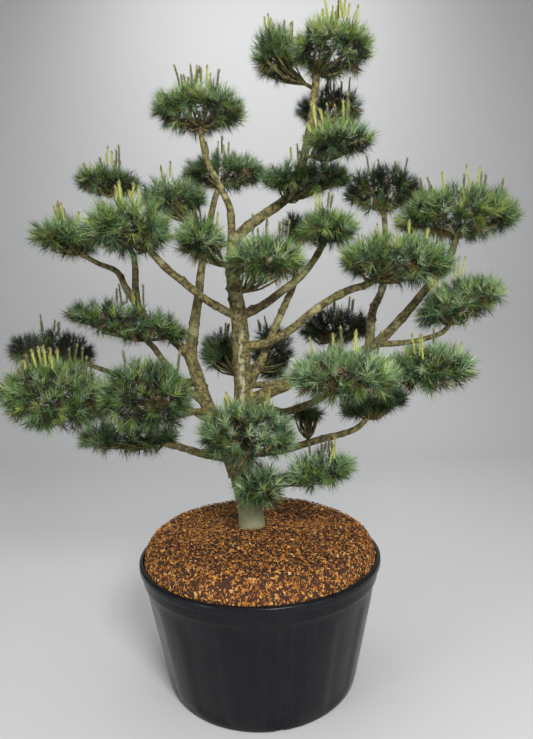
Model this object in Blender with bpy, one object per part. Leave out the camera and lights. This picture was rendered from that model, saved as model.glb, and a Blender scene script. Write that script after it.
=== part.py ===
"""A cloud-pruned glauca japanese white pine in a round black nursery pot.

The frame stands on the pot's underside: +Z is up, +X runs to the right of the tree's front and +Y to its back.
Sizes are metres. The trunk, each bough and each pad of needles is an object of its own. A pad is a stem that
carries on from its bough, a lumpy core, three-sided twigs, sprays of needles and upright candles, all fused.
"""

import math
import random

import bmesh
import bpy
from mathutils import Quaternion, Vector
from mathutils.bvhtree import BVHTree

# Clearances
GAP = 0.0003
CUT_GAP = 0.0004
SPRAY_CLEARANCE = 0.003

# Pot
RIM_RADIUS = 0.4565
RIM_TOP = 0.472
LIP_HEIGHT = 0.030
COLLAR_RADIUS = 0.444
COLLAR_BOTTOM = 0.405
WALL_TOP_RADIUS = 0.436
BASE_RADIUS = 0.354
WALL = 0.007
FLOOR = 0.010
POT_SEGMENTS = 36
DRAIN_SLOTS = 7
FIRST_DRAIN_SLOT_DEGREES = -80.7
DRAIN_SLOT_SIZE = (0.032, 0.030, 0.018)

# Mulch
MULCH_EDGE = 0.458
MULCH_SHOULDER_RADIUS = 0.365
MULCH_SHOULDER = 0.550
MULCH_TOP = 0.566
MULCH_FLAT_RADIUS = 0.14
MULCH_RINGS = 3

# Needles
SPRAY_LENGTH = 0.068
SPRAY_SPREAD_DEGREES = 50.0
SPRAY_NEEDLES = 3
SPRAY_SINK = 0.014
SPRAY_AREA = 0.0370
CORE_SHARE = 0.89
CANDLE_RADIUS = 0.006
CANDLE_SINK = 0.020

# Colours as linear red, green, blue
BARK = (0.130, 0.098, 0.050)
NEEDLE = (0.060, 0.120, 0.075)
NEEDLE_DARK = (0.012, 0.026, 0.014)
MULCH = (0.270, 0.100, 0.028)
PLASTIC = (0.012, 0.013, 0.016)

TRUNK_SIDES = 10
BOUGH_SIDES = 6
STEM_SIDES = 5
TWIG_SIDES = 3

TRUNK_PATH = (
    (-0.030, 0.0, MULCH_TOP + GAP),
    (-0.040, 0.0, 0.660),
    (-0.062, 0.0, 0.760),
    (-0.066, 0.0, 0.860),
    (-0.052, 0.0, 1.050),
    (-0.054, 0.0, 1.260),
    (-0.060, 0.0, 1.390),
    (-0.078, 0.0, 1.530),
    (-0.074, 0.0, 1.660),
)
TRUNK_RADII = (0.0490, 0.0480, 0.0460, 0.0400, 0.0340, 0.0330, 0.0300, 0.0240, 0.0190)

# Each bough: the limb it springs from, the points it runs through, its radius at root and tip
BOUGHS = {
    "leader": ("trunk", 0.0205, 0.0145, (
        (-0.074, 0.0, 1.645), (-0.020, 0.0, 1.698), (0.052, 0.030, 1.756), (0.135, 0.080, 1.826),
        (0.190, 0.090, 1.925), (0.220, 0.080, 2.030), (0.244, 0.050, 2.147), (0.256, 0.010, 2.262),
    )),
    "bough_top_left": ("trunk", 0.0150, 0.0095, (
        (-0.076, 0.0, 1.640), (-0.076, -0.020, 1.742), (-0.084, -0.030, 1.782), (-0.119, -0.040, 1.854),
        (-0.159, -0.050, 1.941), (-0.176, -0.050, 2.050),
    )),
    "bough_left_main": ("trunk", 0.0300, 0.0240, (
        (-0.080, 0.0, 0.760), (-0.140, 0.030, 0.890), (-0.200, 0.060, 1.037), (-0.236, 0.080, 1.144),
        (-0.268, 0.100, 1.236),
    )),
    "bough_back_left": ("bough_left_main", 0.0230, 0.0110, (
        (-0.262, 0.100, 1.215), (-0.243, 0.130, 1.364), (-0.229, 0.160, 1.467), (-0.212, 0.190, 1.606),
        (-0.169, 0.260, 1.848), (-0.140, 0.290, 1.950),
    )),
    "bough_left_mid": ("bough_left_main", 0.0190, 0.0095, (
        (-0.262, 0.100, 1.215), (-0.331, 0.090, 1.293), (-0.397, 0.090, 1.346), (-0.451, 0.090, 1.399),
        (-0.468, 0.090, 1.480), (-0.471, 0.100, 1.596), (-0.500, 0.110, 1.743), (-0.545, 0.100, 1.880),
    )),
    "bough_far_left": ("bough_left_mid", 0.0150, 0.0075, (
        (-0.442, 0.090, 1.390), (-0.497, 0.070, 1.485), (-0.525, 0.040, 1.552), (-0.584, 0.0, 1.580),
        (-0.640, -0.030, 1.612),
    )),
    "bough_left_low": ("bough_left_main", 0.0150, 0.0105, (
        (-0.200, 0.060, 1.029), (-0.260, 0.050, 1.083), (-0.317, 0.030, 1.153), (-0.365, 0.010, 1.224),
        (-0.388, -0.010, 1.263), (-0.430, -0.050, 1.310),
    )),
    "bough_left_front": ("bough_left_main", 0.0130, 0.0095, (
        (-0.178, 0.050, 0.990), (-0.215, 0.0, 1.010), (-0.270, -0.110, 1.015), (-0.310, -0.200, 1.060),
    )),
    "bough_left_outer": ("bough_left_main", 0.0140, 0.0100, (
        (-0.165, 0.042, 0.955), (-0.300, 0.020, 1.030), (-0.440, -0.030, 1.050), (-0.600, -0.110, 1.060),
    )),
    "bough_left_base": ("bough_left_main", 0.0170, 0.0110, (
        (-0.110, 0.010, 0.822), (-0.198, -0.030, 0.848), (-0.285, -0.040, 0.878), (-0.346, -0.040, 0.894),
        (-0.440, -0.020, 0.925),
    )),
    "bough_left_back": ("bough_left_main", 0.0140, 0.0095, (
        (-0.222, 0.078, 1.110), (-0.396, 0.150, 1.118), (-0.571, 0.190, 1.145), (-0.740, 0.200, 1.205),
    )),
    "bough_front_left": ("trunk", 0.0165, 0.0115, (
        (-0.058, 0.0, 1.363), (-0.118, -0.040, 1.394), (-0.174, -0.090, 1.428), (-0.247, -0.160, 1.489),
        (-0.291, -0.210, 1.528), (-0.350, -0.270, 1.600),
    )),
    "bough_right_long": ("trunk", 0.0165, 0.0120, (
        (-0.052, 0.0, 1.255), (0.039, -0.030, 1.262), (0.132, -0.070, 1.309), (0.203, -0.100, 1.364),
        (0.272, -0.130, 1.410), (0.337, -0.170, 1.440), (0.393, -0.200, 1.456), (0.470, -0.230, 1.510),
    )),
    "bough_right_cross": ("trunk", 0.0175, 0.0110, (
        (-0.050, 0.0, 1.370), (0.031, 0.010, 1.406), (0.102, 0.0, 1.454), (0.176, -0.030, 1.506),
        (0.228, -0.070, 1.566), (0.262, -0.120, 1.625),
    )),
    "bough_right_rise": ("trunk", 0.0175, 0.0105, (
        (-0.050, 0.0, 1.060), (0.026, 0.030, 1.206), (0.079, 0.060, 1.322), (0.126, 0.080, 1.423),
        (0.160, 0.100, 1.500), (0.182, 0.130, 1.650), (0.184, 0.140, 1.710),
    )),
    "bough_right_low": ("trunk", 0.0165, 0.0105, (
        (-0.052, 0.0, 1.010), (0.051, -0.060, 1.016), (0.105, -0.100, 1.012), (0.175, -0.150, 1.040),
        (0.230, -0.220, 1.075), (0.280, -0.300, 1.130),
    )),
    "bough_right_base": ("trunk", 0.0170, 0.0100, (
        (-0.066, 0.0, 0.840), (0.047, 0.0, 0.846), (0.136, 0.0, 0.860), (0.220, -0.020, 0.887),
        (0.301, -0.030, 0.908), (0.375, -0.040, 0.935), (0.430, -0.030, 0.985),
    )),
    "bough_right_back": ("trunk", 0.0250, 0.0125, (
        (-0.054, 0.0, 1.030), (0.174, 0.080, 1.121), (0.358, 0.100, 1.188), (0.484, 0.080, 1.256),
        (0.576, 0.050, 1.350), (0.664, 0.030, 1.457), (0.741, 0.020, 1.555), (0.790, 0.020, 1.680),
    )),
    "bough_right_up": ("bough_right_back", 0.0185, 0.0110, (
        (0.455, 0.088, 1.240), (0.479, 0.140, 1.378), (0.533, 0.190, 1.483), (0.564, 0.250, 1.647),
        (0.564, 0.290, 1.860),
    )),
    "bough_right_small": ("bough_right_back", 0.0120, 0.0085, (
        (0.470, 0.080, 1.248), (0.580, 0.030, 1.252), (0.648, 0.0, 1.265), (0.712, -0.030, 1.294),
        (0.760, -0.040, 1.370),
    )),
    "bough_back_right": ("trunk", 0.0140, 0.0100, (
        (-0.050, 0.0, 1.105), (0.040, 0.080, 1.100), (0.190, 0.150, 1.120), (0.300, 0.260, 1.190),
        (0.345, 0.350, 1.290),
    )),
}

# Each pad: the limb it grows from, its middle, its half sizes, its slope in degrees, its candles.
# A pad whose limb is a tip bough grows on from that tip; any other springs from the limb's side.
PADS = {
    "crown_front": ("leader", (0.302, -0.040, 2.312), (0.165, 0.160, 0.100), 0, 6),
    "crown_left": ("leader", (0.110, 0.120, 2.385), (0.105, 0.110, 0.122), 0, 0),
    "crown_back": ("leader", (0.338, 0.270, 2.239), (0.150, 0.130, 0.085), 0, 3),
    "crown_low": ("leader", (0.296, -0.270, 1.905), (0.122, 0.105, 0.068), 0, 4),
    "centre_high": ("leader", (0.205, -0.060, 1.854), (0.178, 0.112, 0.080), 0, 1),
    "left_top": ("bough_top_left", (-0.179, -0.050, 2.105), (0.180, 0.160, 0.095), 0, 6),
    "left_back_high": ("bough_back_left", (-0.115, 0.300, 2.000), (0.200, 0.140, 0.095), 0, 3),
    "left_back_low": ("bough_back_left", (-0.325, 0.200, 1.866), (0.150, 0.120, 0.098), 0, 2),
    "left_high": ("bough_left_mid", (-0.564, 0.100, 1.906), (0.135, 0.140, 0.068), 0, 3),
    "left_front": ("bough_front_left", (-0.384, -0.300, 1.630), (0.150, 0.150, 0.112), 0, 2),
    "far_left": ("bough_far_left", (-0.685, -0.040, 1.664), (0.128, 0.130, 0.092), -8, 3),
    "centre_left": ("trunk", (-0.164, -0.240, 1.600), (0.097, 0.110, 0.092), 0, 0),
    "centre_front": ("trunk", (0.046, -0.260, 1.530), (0.143, 0.120, 0.105), 0, 2),
    "right_back_high": ("bough_right_up", (0.570, 0.300, 1.900), (0.180, 0.150, 0.122), 0, 2),
    "right_high": ("bough_right_back", (0.793, 0.020, 1.722), (0.252, 0.170, 0.125), 0, 4),
    "right_front": ("bough_right_long", (0.480, -0.240, 1.518), (0.208, 0.150, 0.110), -4, 1),
    "right_front_inner": ("bough_right_cross", (0.262, -0.200, 1.640), (0.110, 0.120, 0.085), 0, 0),
    "right_inner": ("bough_right_rise", (0.185, 0.160, 1.716), (0.075, 0.100, 0.078), 0, 0),
    "right_small": ("bough_right_small", (0.768, -0.040, 1.396), (0.186, 0.130, 0.110), 18, 3),
    "right_low_front": ("bough_right_low", (0.277, -0.350, 1.152), (0.192, 0.150, 0.112), 0, 1),
    "right_low_outer": ("bough_right_back", (0.598, -0.180, 1.156), (0.168, 0.150, 0.112), 4, 2),
    "right_low_under": ("bough_right_base", (0.448, 0.0, 1.020), (0.150, 0.110, 0.078), 12, 0),
    "right_low_inner": ("bough_right_base", (0.195, 0.030, 0.982), (0.074, 0.070, 0.055), 0, 0),
    "back_right": ("bough_back_right", (0.360, 0.370, 1.318), (0.180, 0.130, 0.110), 0, 1),
    "back_left": ("trunk", (-0.152, 0.300, 1.222), (0.108, 0.110, 0.112), 0, 1),
    "back_middle": ("trunk", (0.070, 0.300, 1.205), (0.106, 0.110, 0.155), 0, 1),
    "left_mid": ("bough_left_low", (-0.455, -0.070, 1.342), (0.245, 0.115, 0.090), -12, 1),
    "left_back_small": ("bough_left_back", (-0.866, 0.220, 1.243), (0.190, 0.130, 0.112), -5, 2),
    "left_low_outer": ("bough_left_outer", (-0.692, -0.170, 1.084), (0.205, 0.165, 0.145), -8, 5),
    "left_low_front": ("bough_left_front", (-0.355, -0.280, 1.092), (0.172, 0.150, 0.145), -5, 1),
    "left_low_under": ("bough_left_base", (-0.490, -0.010, 0.915), (0.205, 0.120, 0.090), 0, 0),
    "foot_front": ("trunk", (-0.035, -0.230, 0.952), (0.185, 0.120, 0.132), -5, 2),
    "foot_low": ("trunk", (0.006, -0.160, 0.752), (0.105, 0.095, 0.095), 0, 0),
    "foot_right": ("trunk", (0.225, -0.130, 0.797), (0.138, 0.110, 0.085), 8, 2),
}

# Pads that grow on from the very tip of their limb
TIP_PADS = (
    "crown_front", "left_top", "left_back_high", "left_high", "left_front", "far_left", "right_back_high",
    "right_high", "right_front", "right_front_inner", "right_inner", "right_small", "right_low_front",
    "right_low_under", "back_right", "left_mid", "left_back_small", "left_low_outer", "left_low_front",
    "left_low_under",
)

# Where a pad's stem leaves the side of its limb, as a height
SIDE_STEM_HEIGHTS = {
    "crown_left": 2.215,
    "crown_back": 2.090,
    "crown_low": 1.985,
    "centre_high": 1.800,
    "left_back_low": 1.735,
    "centre_left": 1.545,
    "centre_front": 1.440,
    "right_low_outer": 1.215,
    "right_low_inner": 0.878,
    "back_left": 1.130,
    "back_middle": 1.170,
    "foot_front": 0.900,
    "foot_low": 0.700,
    "foot_right": 0.745,
}

PAD_UNDERSIDE = 0.90
STEM_REACH = 0.45
SIDE_STEM_RADIUS = 0.0075
SIDE_STEM_SAG = 0.015
STEM_TIP_SHARE = 0.6
LUMPS = 7
LUMP_DEPTH = 0.10
CANDLE_LENGTHS = (0.04, 0.10)
TWIGS = 2
TWIG_RADIUS = 0.004


def clear_scene():
    for item in list(bpy.data.objects):
        bpy.data.objects.remove(item, do_unlink=True)


def make_material(name, colour, roughness):
    material = bpy.data.materials.new(name)
    material.use_nodes = True
    shader = material.node_tree.nodes["Principled BSDF"]
    shader.inputs["Base Color"].default_value = (*colour, 1.0)
    shader.inputs["Roughness"].default_value = roughness
    shader.inputs["Metallic"].default_value = 0.0
    return material


def object_from(bm, name):
    """An object that holds the bmesh, with its faces pointing outwards."""
    bmesh.ops.recalc_face_normals(bm, faces=bm.faces)
    mesh = bpy.data.meshes.new(name)
    bm.to_mesh(mesh)
    bm.free()
    item = bpy.data.objects.new(name, mesh)
    bpy.context.scene.collection.objects.link(item)
    return item


def remove_object(item):
    mesh = item.data
    bpy.data.objects.remove(item, do_unlink=True)
    bpy.data.meshes.remove(mesh)


def applied_boolean(item, operation, other=None, collection=None, solver="EXACT"):
    """Joins or cuts the object and applies the result to its mesh."""
    modifier = item.modifiers.new("boolean", "BOOLEAN")
    modifier.operation = operation
    modifier.solver = solver
    if collection:
        modifier.operand_type = "COLLECTION"
        modifier.collection = collection
    else:
        modifier.object = other
    graph = bpy.context.evaluated_depsgraph_get()
    result = bpy.data.meshes.new_from_object(item.evaluated_get(graph))
    item.modifiers.clear()
    before = item.data
    item.data = result
    bpy.data.meshes.remove(before)


def face_islands(bm):
    """The groups of faces that hang together."""
    islands = []
    seen = set()
    for start in bm.faces:
        if start in seen:
            continue
        seen.add(start)
        island = [start]
        for face in island:
            for edge in face.edges:
                for neighbour in edge.link_faces:
                    if neighbour not in seen:
                        seen.add(neighbour)
                        island.append(neighbour)
        islands.append(island)
    return islands


def keep_one_body(item):
    """Keeps the largest body, which drops loose scraps and fills sealed hollows."""
    bm = bmesh.new()
    bm.from_mesh(item.data)
    islands = sorted(face_islands(bm), key=len)
    for island in islands[:-1]:
        bmesh.ops.delete(bm, geom=island, context="FACES")
    bmesh.ops.triangulate(bm, faces=bm.faces)
    bm.to_mesh(item.data)
    bm.free()


def tree_of(item):
    bm = bmesh.new()
    bm.from_mesh(item.data)
    tree = BVHTree.FromBMesh(bm)
    bm.free()
    return tree


def smooth_path(points, rings):
    """Points spread along one smooth curve through the given ones."""
    points = [Vector(p) for p in points]
    ends = [2 * points[0] - points[1], *points, 2 * points[-1] - points[-2]]
    spans = len(points) - 1
    path = []
    for i in range(rings):
        place = i / (rings - 1) * spans
        span = min(int(place), spans - 1)
        t = place - span
        a, b, c, d = ends[span:span + 4]
        path.append(
            0.5 * (2 * b + (c - a) * t + (2 * a - 5 * b + 4 * c - d) * t**2 + (3 * b - a - 3 * c + d) * t**3)
        )
    return path


def tapered(root, tip, rings):
    return [root + (tip - root) * i / (rings - 1) for i in range(rings)]


def tube_bmesh(path, radii, sides):
    """A closed tube round the path, with a flat face at each end."""
    bm = bmesh.new()
    rings = []
    tangent = (path[1] - path[0]).normalized()
    side = tangent.orthogonal().normalized()
    for i, (point, radius) in enumerate(zip(path, radii)):
        ahead = path[min(i + 1, len(path) - 1)]
        behind = path[max(i - 1, 0)]
        turned = (ahead - behind).normalized()
        side.rotate(tangent.rotation_difference(turned))
        tangent = turned
        other = tangent.cross(side)
        ring = []
        for k in range(sides):
            angle = 2 * math.pi * k / sides
            ring.append(bm.verts.new(point + radius * (math.cos(angle) * side + math.sin(angle) * other)))
        rings.append(ring)
    for lower, upper in zip(rings, rings[1:]):
        for k in range(sides):
            n = (k + 1) % sides
            bm.faces.new((lower[k], lower[n], upper[n], upper[k]))
    bm.faces.new(rings[0][::-1])
    bm.faces.new(rings[-1])
    return bm


def longer(path, extra):
    """The path with each end carried on by the extra length."""
    first = path[0] + (path[0] - path[1]).normalized() * extra
    last = path[-1] + (path[-1] - path[-2]).normalized() * extra
    return [first, *path[1:-1], last]


class Limb:
    """The trunk or one bough, as a path with a radius at each point."""

    def __init__(self, name, path, radii, sides):
        self.name = name
        self.path = path
        self.radii = radii
        self.sides = sides
        self.item = None

    def solid(self, name, extra=0.0):
        radii = [r + extra / math.cos(math.pi / self.sides) for r in self.radii]
        path = longer(self.path, extra) if extra else self.path
        return object_from(tube_bmesh(path, radii, self.sides), name)

    def side_point(self, height):
        """The point of the path at the given height."""
        for a, b in zip(self.path, self.path[1:]):
            if a.z <= height <= b.z:
                return a.lerp(b, (height - a.z) / (b.z - a.z))
        raise ValueError(f"{self.name} never reaches the height {height}")


class Pad:
    """One pad of needles: a flattened dome with lumps, on a stem."""

    def __init__(self, name, holder, middle, half, slope, candles):
        self.name = name
        self.holder = holder
        self.middle = Vector(middle)
        self.half = Vector(half)
        self.turn = Quaternion((0.0, 1.0, 0.0), math.radians(-slope))
        self.candles = candles
        self.random = random.Random(name)
        self.lumps = [self.direction() for _ in range(LUMPS)]
        self.fork = self.middle

    def direction(self):
        u = self.random.uniform(-0.6, 1.0)
        angle = self.random.uniform(0.0, 2 * math.pi)
        flat = math.sqrt(1 - u * u)
        return Vector((flat * math.cos(angle), flat * math.sin(angle), u))

    def reach(self, u):
        """How far the pad reaches along a unit direction, as a share of its dome."""
        nearest = max(u.dot(lump) for lump in self.lumps)
        return 1 - LUMP_DEPTH * min(1.0, max(0.0, (0.95 - nearest) / 0.5))

    def surface(self, u, share=1.0):
        """The point on the pad's outside along the unit direction u, scaled by the share."""
        local = Vector((u.x * self.half.x, u.y * self.half.y, u.z * self.half.z))
        if u.z < 0:
            local.z *= PAD_UNDERSIDE
        return self.middle + self.turn @ (local * self.reach(u) * share)

    def outward(self, u):
        normal = Vector((u.x / self.half.x, u.y / self.half.y, u.z / self.half.z))
        return (self.turn @ normal).normalized()

    def holds(self, point, share=1.0):
        """Whether the point lies inside the pad's dome, scaled by the share."""
        local = self.turn.inverted() @ (point - self.middle)
        height = self.half.z * (PAD_UNDERSIDE if local.z < 0 else 1.0)
        return (local.x / self.half.x) ** 2 + (local.y / self.half.y) ** 2 + (local.z / height) ** 2 < share**2

    def directions(self, count):
        """Unit directions spread evenly by the golden angle, each moved a little."""
        golden = math.pi * (3 - math.sqrt(5))
        start = self.random.uniform(0.0, 2 * math.pi)
        for i in range(count):
            u = 1 - 2 * (i + 0.5) / count + self.random.uniform(-0.3, 0.3) / count
            angle = start + golden * i + self.random.uniform(-0.15, 0.15)
            flat = math.sqrt(max(0.0, 1 - u * u))
            yield Vector((flat * math.cos(angle), flat * math.sin(angle), u))

    def area(self):
        a, b, c = self.half
        power = 1.6
        mean = ((a * b) ** power + (a * c) ** power + (b * c) ** power) / 3
        return 4 * math.pi * mean ** (1 / power)


def spray_bmesh(root, outward, length, turn):
    """A spray of needles: a pointed foot that opens into a ring of needle tips."""
    bm = bmesh.new()
    side = outward.orthogonal().normalized()
    side.rotate(Quaternion(outward, turn))
    other = outward.cross(side)
    spread = math.radians(SPRAY_SPREAD_DEGREES)
    foot = bm.verts.new(root)
    heart = bm.verts.new(root + outward * length * 0.42)
    ring = []
    for k in range(2 * SPRAY_NEEDLES):
        angle = math.pi * k / SPRAY_NEEDLES
        tip = k % 2 == 0
        out = length * (math.sin(spread) if tip else 0.26)
        up = length * (math.cos(spread) if tip else 0.30)
        ring.append(bm.verts.new(root + outward * up + out * (math.cos(angle) * side + math.sin(angle) * other)))
    for k, vert in enumerate(ring):
        following = ring[(k + 1) % len(ring)]
        bm.faces.new((foot, following, vert))
        bm.faces.new((heart, vert, following))
    return bm


def candle_bmesh(root, direction, length):
    """A young upright shoot, three-sided and slightly tapered."""
    return tube_bmesh([root, root + direction * length], [CANDLE_RADIUS, CANDLE_RADIUS * 0.5], TWIG_SIDES)


def core_bmesh(pad):
    bm = bmesh.new()
    bmesh.ops.create_icosphere(bm, subdivisions=2, radius=1.0)
    for vert in bm.verts:
        vert.co = pad.surface(vert.co.normalized(), CORE_SHARE)
    return bm


def build_pot():
    inner_rim = RIM_RADIUS - 0.016
    profile = (
        (0.0, 0.0),
        (BASE_RADIUS, 0.0),
        (WALL_TOP_RADIUS, COLLAR_BOTTOM - 0.006),
        (COLLAR_RADIUS, COLLAR_BOTTOM),
        (COLLAR_RADIUS + 0.002, RIM_TOP - LIP_HEIGHT),
        (RIM_RADIUS, RIM_TOP - LIP_HEIGHT + 0.003),
        (RIM_RADIUS, RIM_TOP - 0.003),
        (RIM_RADIUS - 0.004, RIM_TOP),
        (inner_rim, RIM_TOP),
        (COLLAR_RADIUS - WALL, RIM_TOP - LIP_HEIGHT),
        (WALL_TOP_RADIUS - WALL, COLLAR_BOTTOM - 0.006),
        (BASE_RADIUS - WALL, FLOOR),
        (0.0, FLOOR),
    )
    pot = turned_solid("pot", profile, POT_SEGMENTS)
    for k in range(DRAIN_SLOTS):
        angle = math.radians(FIRST_DRAIN_SLOT_DEGREES + 360.0 * k / DRAIN_SLOTS)
        bm = bmesh.new()
        bmesh.ops.create_cube(bm, size=1.0)
        for vert in bm.verts:
            vert.co = Vector(a * b for a, b in zip(vert.co, DRAIN_SLOT_SIZE))
            vert.co += Vector((BASE_RADIUS, 0.0, 0.0))
            vert.co.rotate(Quaternion((0.0, 0.0, 1.0), angle))
        cutter = object_from(bm, "drain_slot")
        applied_boolean(pot, "DIFFERENCE", other=cutter)
        remove_object(cutter)
    return pot


def turned_solid(name, profile, segments):
    """A solid of revolution from a profile that starts and ends on the axis."""
    bm = bmesh.new()
    first = bm.verts.new((0.0, 0.0, profile[0][1]))
    last = bm.verts.new((0.0, 0.0, profile[-1][1]))
    rings = []
    for radius, height in profile[1:-1]:
        ring = []
        for k in range(segments):
            angle = 2 * math.pi * k / segments
            ring.append(bm.verts.new((radius * math.cos(angle), radius * math.sin(angle), height)))
        rings.append(ring)
    for k in range(segments):
        n = (k + 1) % segments
        bm.faces.new((first, rings[0][n], rings[0][k]))
        bm.faces.new((last, rings[-1][k], rings[-1][n]))
        for lower, upper in zip(rings, rings[1:]):
            bm.faces.new((lower[k], lower[n], upper[n], upper[k]))
    return object_from(bm, name)


def build_mulch():
    """The filled pot's bark mulch: it heaps up from the rim to a flat place under the trunk."""
    clear = GAP / math.cos(math.pi / POT_SEGMENTS)
    edge_radius = COLLAR_RADIUS - WALL - clear
    profile = [
        (0.0, FLOOR + GAP),
        (BASE_RADIUS - WALL - 2 * clear, FLOOR + GAP),
        (WALL_TOP_RADIUS - WALL - 2 * clear, COLLAR_BOTTOM - 0.006),
        (edge_radius - clear, RIM_TOP - LIP_HEIGHT),
        (edge_radius, MULCH_EDGE),
    ]
    for i in range(1, MULCH_RINGS + 1):
        angle = 0.5 * math.pi * i / MULCH_RINGS
        radius = edge_radius - (edge_radius - MULCH_SHOULDER_RADIUS) * math.sin(angle)
        height = MULCH_SHOULDER - (MULCH_SHOULDER - MULCH_EDGE) * math.cos(angle)
        if i < MULCH_RINGS:
            height = MULCH_EDGE + (MULCH_SHOULDER - MULCH_EDGE) * math.sin(angle)
            radius = MULCH_SHOULDER_RADIUS + (edge_radius - MULCH_SHOULDER_RADIUS) * math.cos(angle)
        profile.append((radius, height))
    profile.append((MULCH_FLAT_RADIUS, MULCH_TOP))
    profile.append((0.0, MULCH_TOP))
    return turned_solid("mulch", profile, POT_SEGMENTS)


def build_trunk():
    rings = 2 * len(TRUNK_PATH) - 1
    path = smooth_path(TRUNK_PATH, rings)
    radii = []
    for i in range(rings):
        low = TRUNK_RADII[i // 2]
        high = TRUNK_RADII[(i + 1) // 2]
        radii.append(0.5 * (low + high))
    trunk = Limb("trunk", path, radii, TRUNK_SIDES)
    bm = tube_bmesh(path, radii, TRUNK_SIDES)
    for vert in bm.verts:
        if vert.co.z < MULCH_TOP + 0.5 * radii[0]:
            vert.co.z = MULCH_TOP + GAP
    trunk.item = object_from(bm, "trunk")
    return trunk


def cut_by_limbs(item, limbs):
    """Cuts the object clear of every limb that it touches and keeps its outer piece."""
    for limb in limbs:
        cutter = limb.solid("cutter", CUT_GAP)
        if tree_of(item).overlap(tree_of(cutter)):
            applied_boolean(item, "DIFFERENCE", other=cutter)
            keep_one_body(item)
        remove_object(cutter)


def build_boughs(trunk, pads):
    limbs = {"trunk": trunk}
    tips = {PADS[name][0]: pads[name] for name in TIP_PADS}
    for name, (_, root, tip, points) in BOUGHS.items():
        fine = smooth_path(points, 12 * len(points))
        pad = tips.get(name)
        share = CORE_SHARE + 0.04 + tip / (PAD_UNDERSIDE * pad.half.z) if pad else 0.0
        inside = [i for i, point in enumerate(fine) if pad and pad.holds(point, share)]
        end = inside[0] if inside else len(fine) - 1
        rings = max(4, round(1.2 * len(points)))
        path = [fine[round(i * end / (rings - 1))] for i in range(rings)]
        limb = Limb(name, path, tapered(root, tip, rings), BOUGH_SIDES)
        limb.item = limb.solid(name)
        cut_by_limbs(limb.item, list(limbs.values()))
        limbs[name] = limb
    return limbs


def stem_path(pad, limbs):
    """The pad's stem and its radius at the root: on from the bough's tip, or out of the limb's side."""
    holder = limbs[pad.holder]
    if pad.name in TIP_PADS:
        tip = holder.path[-1]
        ahead = (tip - holder.path[-2]).normalized()
        root = tip + ahead * GAP
        elbow = root + ahead * STEM_REACH * pad.half.z
        return [root, root + ahead * 0.01, elbow, pad.middle], holder.radii[-1]
    root = holder.side_point(SIDE_STEM_HEIGHTS[pad.name])
    elbow = root.lerp(pad.middle, 0.5) - Vector((0.0, 0.0, SIDE_STEM_SAG))
    return [root, root.lerp(elbow, 0.1), elbow, pad.middle], SIDE_STEM_RADIUS


def build_stem(pad, limbs):
    points, radius = stem_path(pad, limbs)
    rings = 5
    path = [Vector(points[0]), *smooth_path(points[1:], rings - 1)]
    pad.fork = path[2]
    stem = object_from(tube_bmesh(path, tapered(radius, radius * STEM_TIP_SHARE, rings), STEM_SIDES), pad.name)
    if pad.name not in TIP_PADS:
        cut_by_limbs(stem, list(limbs.values()))
    return stem


def touches(bm, trees):
    tree = BVHTree.FromBMesh(bm)
    return any(tree.overlap(other) for other in trees)


def grown(bm, extra):
    """A copy of the bmesh with each point pushed out from the middle."""
    copy = bm.copy()
    middle = sum((v.co for v in copy.verts), Vector()) / len(copy.verts)
    for vert in copy.verts:
        away = vert.co - middle
        vert.co += away.normalized() * extra
    return copy


def add_if_clear(collection, bm, trees, name):
    """Adds the shape to the collection unless it would touch a limb or another pad."""
    test = grown(bm, SPRAY_CLEARANCE)
    blocked = touches(test, trees)
    test.free()
    if blocked:
        bm.free()
        return
    item = object_from(bm, name)
    bpy.context.scene.collection.objects.unlink(item)
    collection.objects.link(item)


def build_pad(pad, stem, limb_trees, other_trees):
    collection = bpy.data.collections.new(pad.name + "_shapes")
    bpy.context.scene.collection.children.link(collection)
    core = object_from(core_bmesh(pad), "core")
    bpy.context.scene.collection.objects.unlink(core)
    collection.objects.link(core)
    trees = limb_trees + other_trees
    for twig in range(TWIGS):
        angle = pad.random.uniform(0.0, math.pi) + math.pi * twig
        end = pad.surface(Vector((0.8 * math.cos(angle), 0.8 * math.sin(angle), -0.6)), 0.6 * CORE_SHARE)
        bm = tube_bmesh([pad.fork, end], [TWIG_RADIUS, TWIG_RADIUS], TWIG_SIDES)
        add_if_clear(collection, bm, trees, "twig")
    for u in pad.directions(max(7, round(pad.area() / SPRAY_AREA))):
        length = SPRAY_LENGTH * pad.random.uniform(0.9, 1.1)
        outward = (pad.outward(u) + Vector((0.0, 0.0, 0.35 if u.z > -0.3 else 0.0))).normalized()
        root = pad.surface(u, CORE_SHARE) - outward * SPRAY_SINK
        bm = spray_bmesh(root, outward, length, pad.random.uniform(0.0, math.pi))
        add_if_clear(collection, bm, trees, "spray")
    for _ in range(pad.candles):
        angle = pad.random.uniform(0.0, 2 * math.pi)
        out = pad.random.uniform(0.1, 0.8)
        u = Vector((out * math.cos(angle), out * math.sin(angle), math.sqrt(1 - out * out)))
        lean = Vector((0.12 * u.x, 0.12 * u.y, 1.0)).normalized()
        root = pad.surface(u, CORE_SHARE) - lean * CANDLE_SINK
        above = pad.surface(u) + lean * pad.random.uniform(*CANDLE_LENGTHS)
        add_if_clear(collection, candle_bmesh(root, lean, (above - root).length), trees, "candle")
    applied_boolean(stem, "UNION", collection=collection, solver="MANIFOLD")
    for item in list(collection.objects):
        remove_object(item)
    bpy.data.collections.remove(collection)
    keep_one_body(stem)


def place_at_own_root(item, root):
    """Moves the object's origin to its root without moving its shape."""
    for vert in item.data.vertices:
        vert.co -= root
    item.location = root


def finish(item, material, parent):
    item.data.materials.clear()
    item.data.materials.append(material)
    item.data.shade_smooth()
    item.data.set_sharp_from_angle(angle=math.radians(40))
    item.parent = parent


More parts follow.
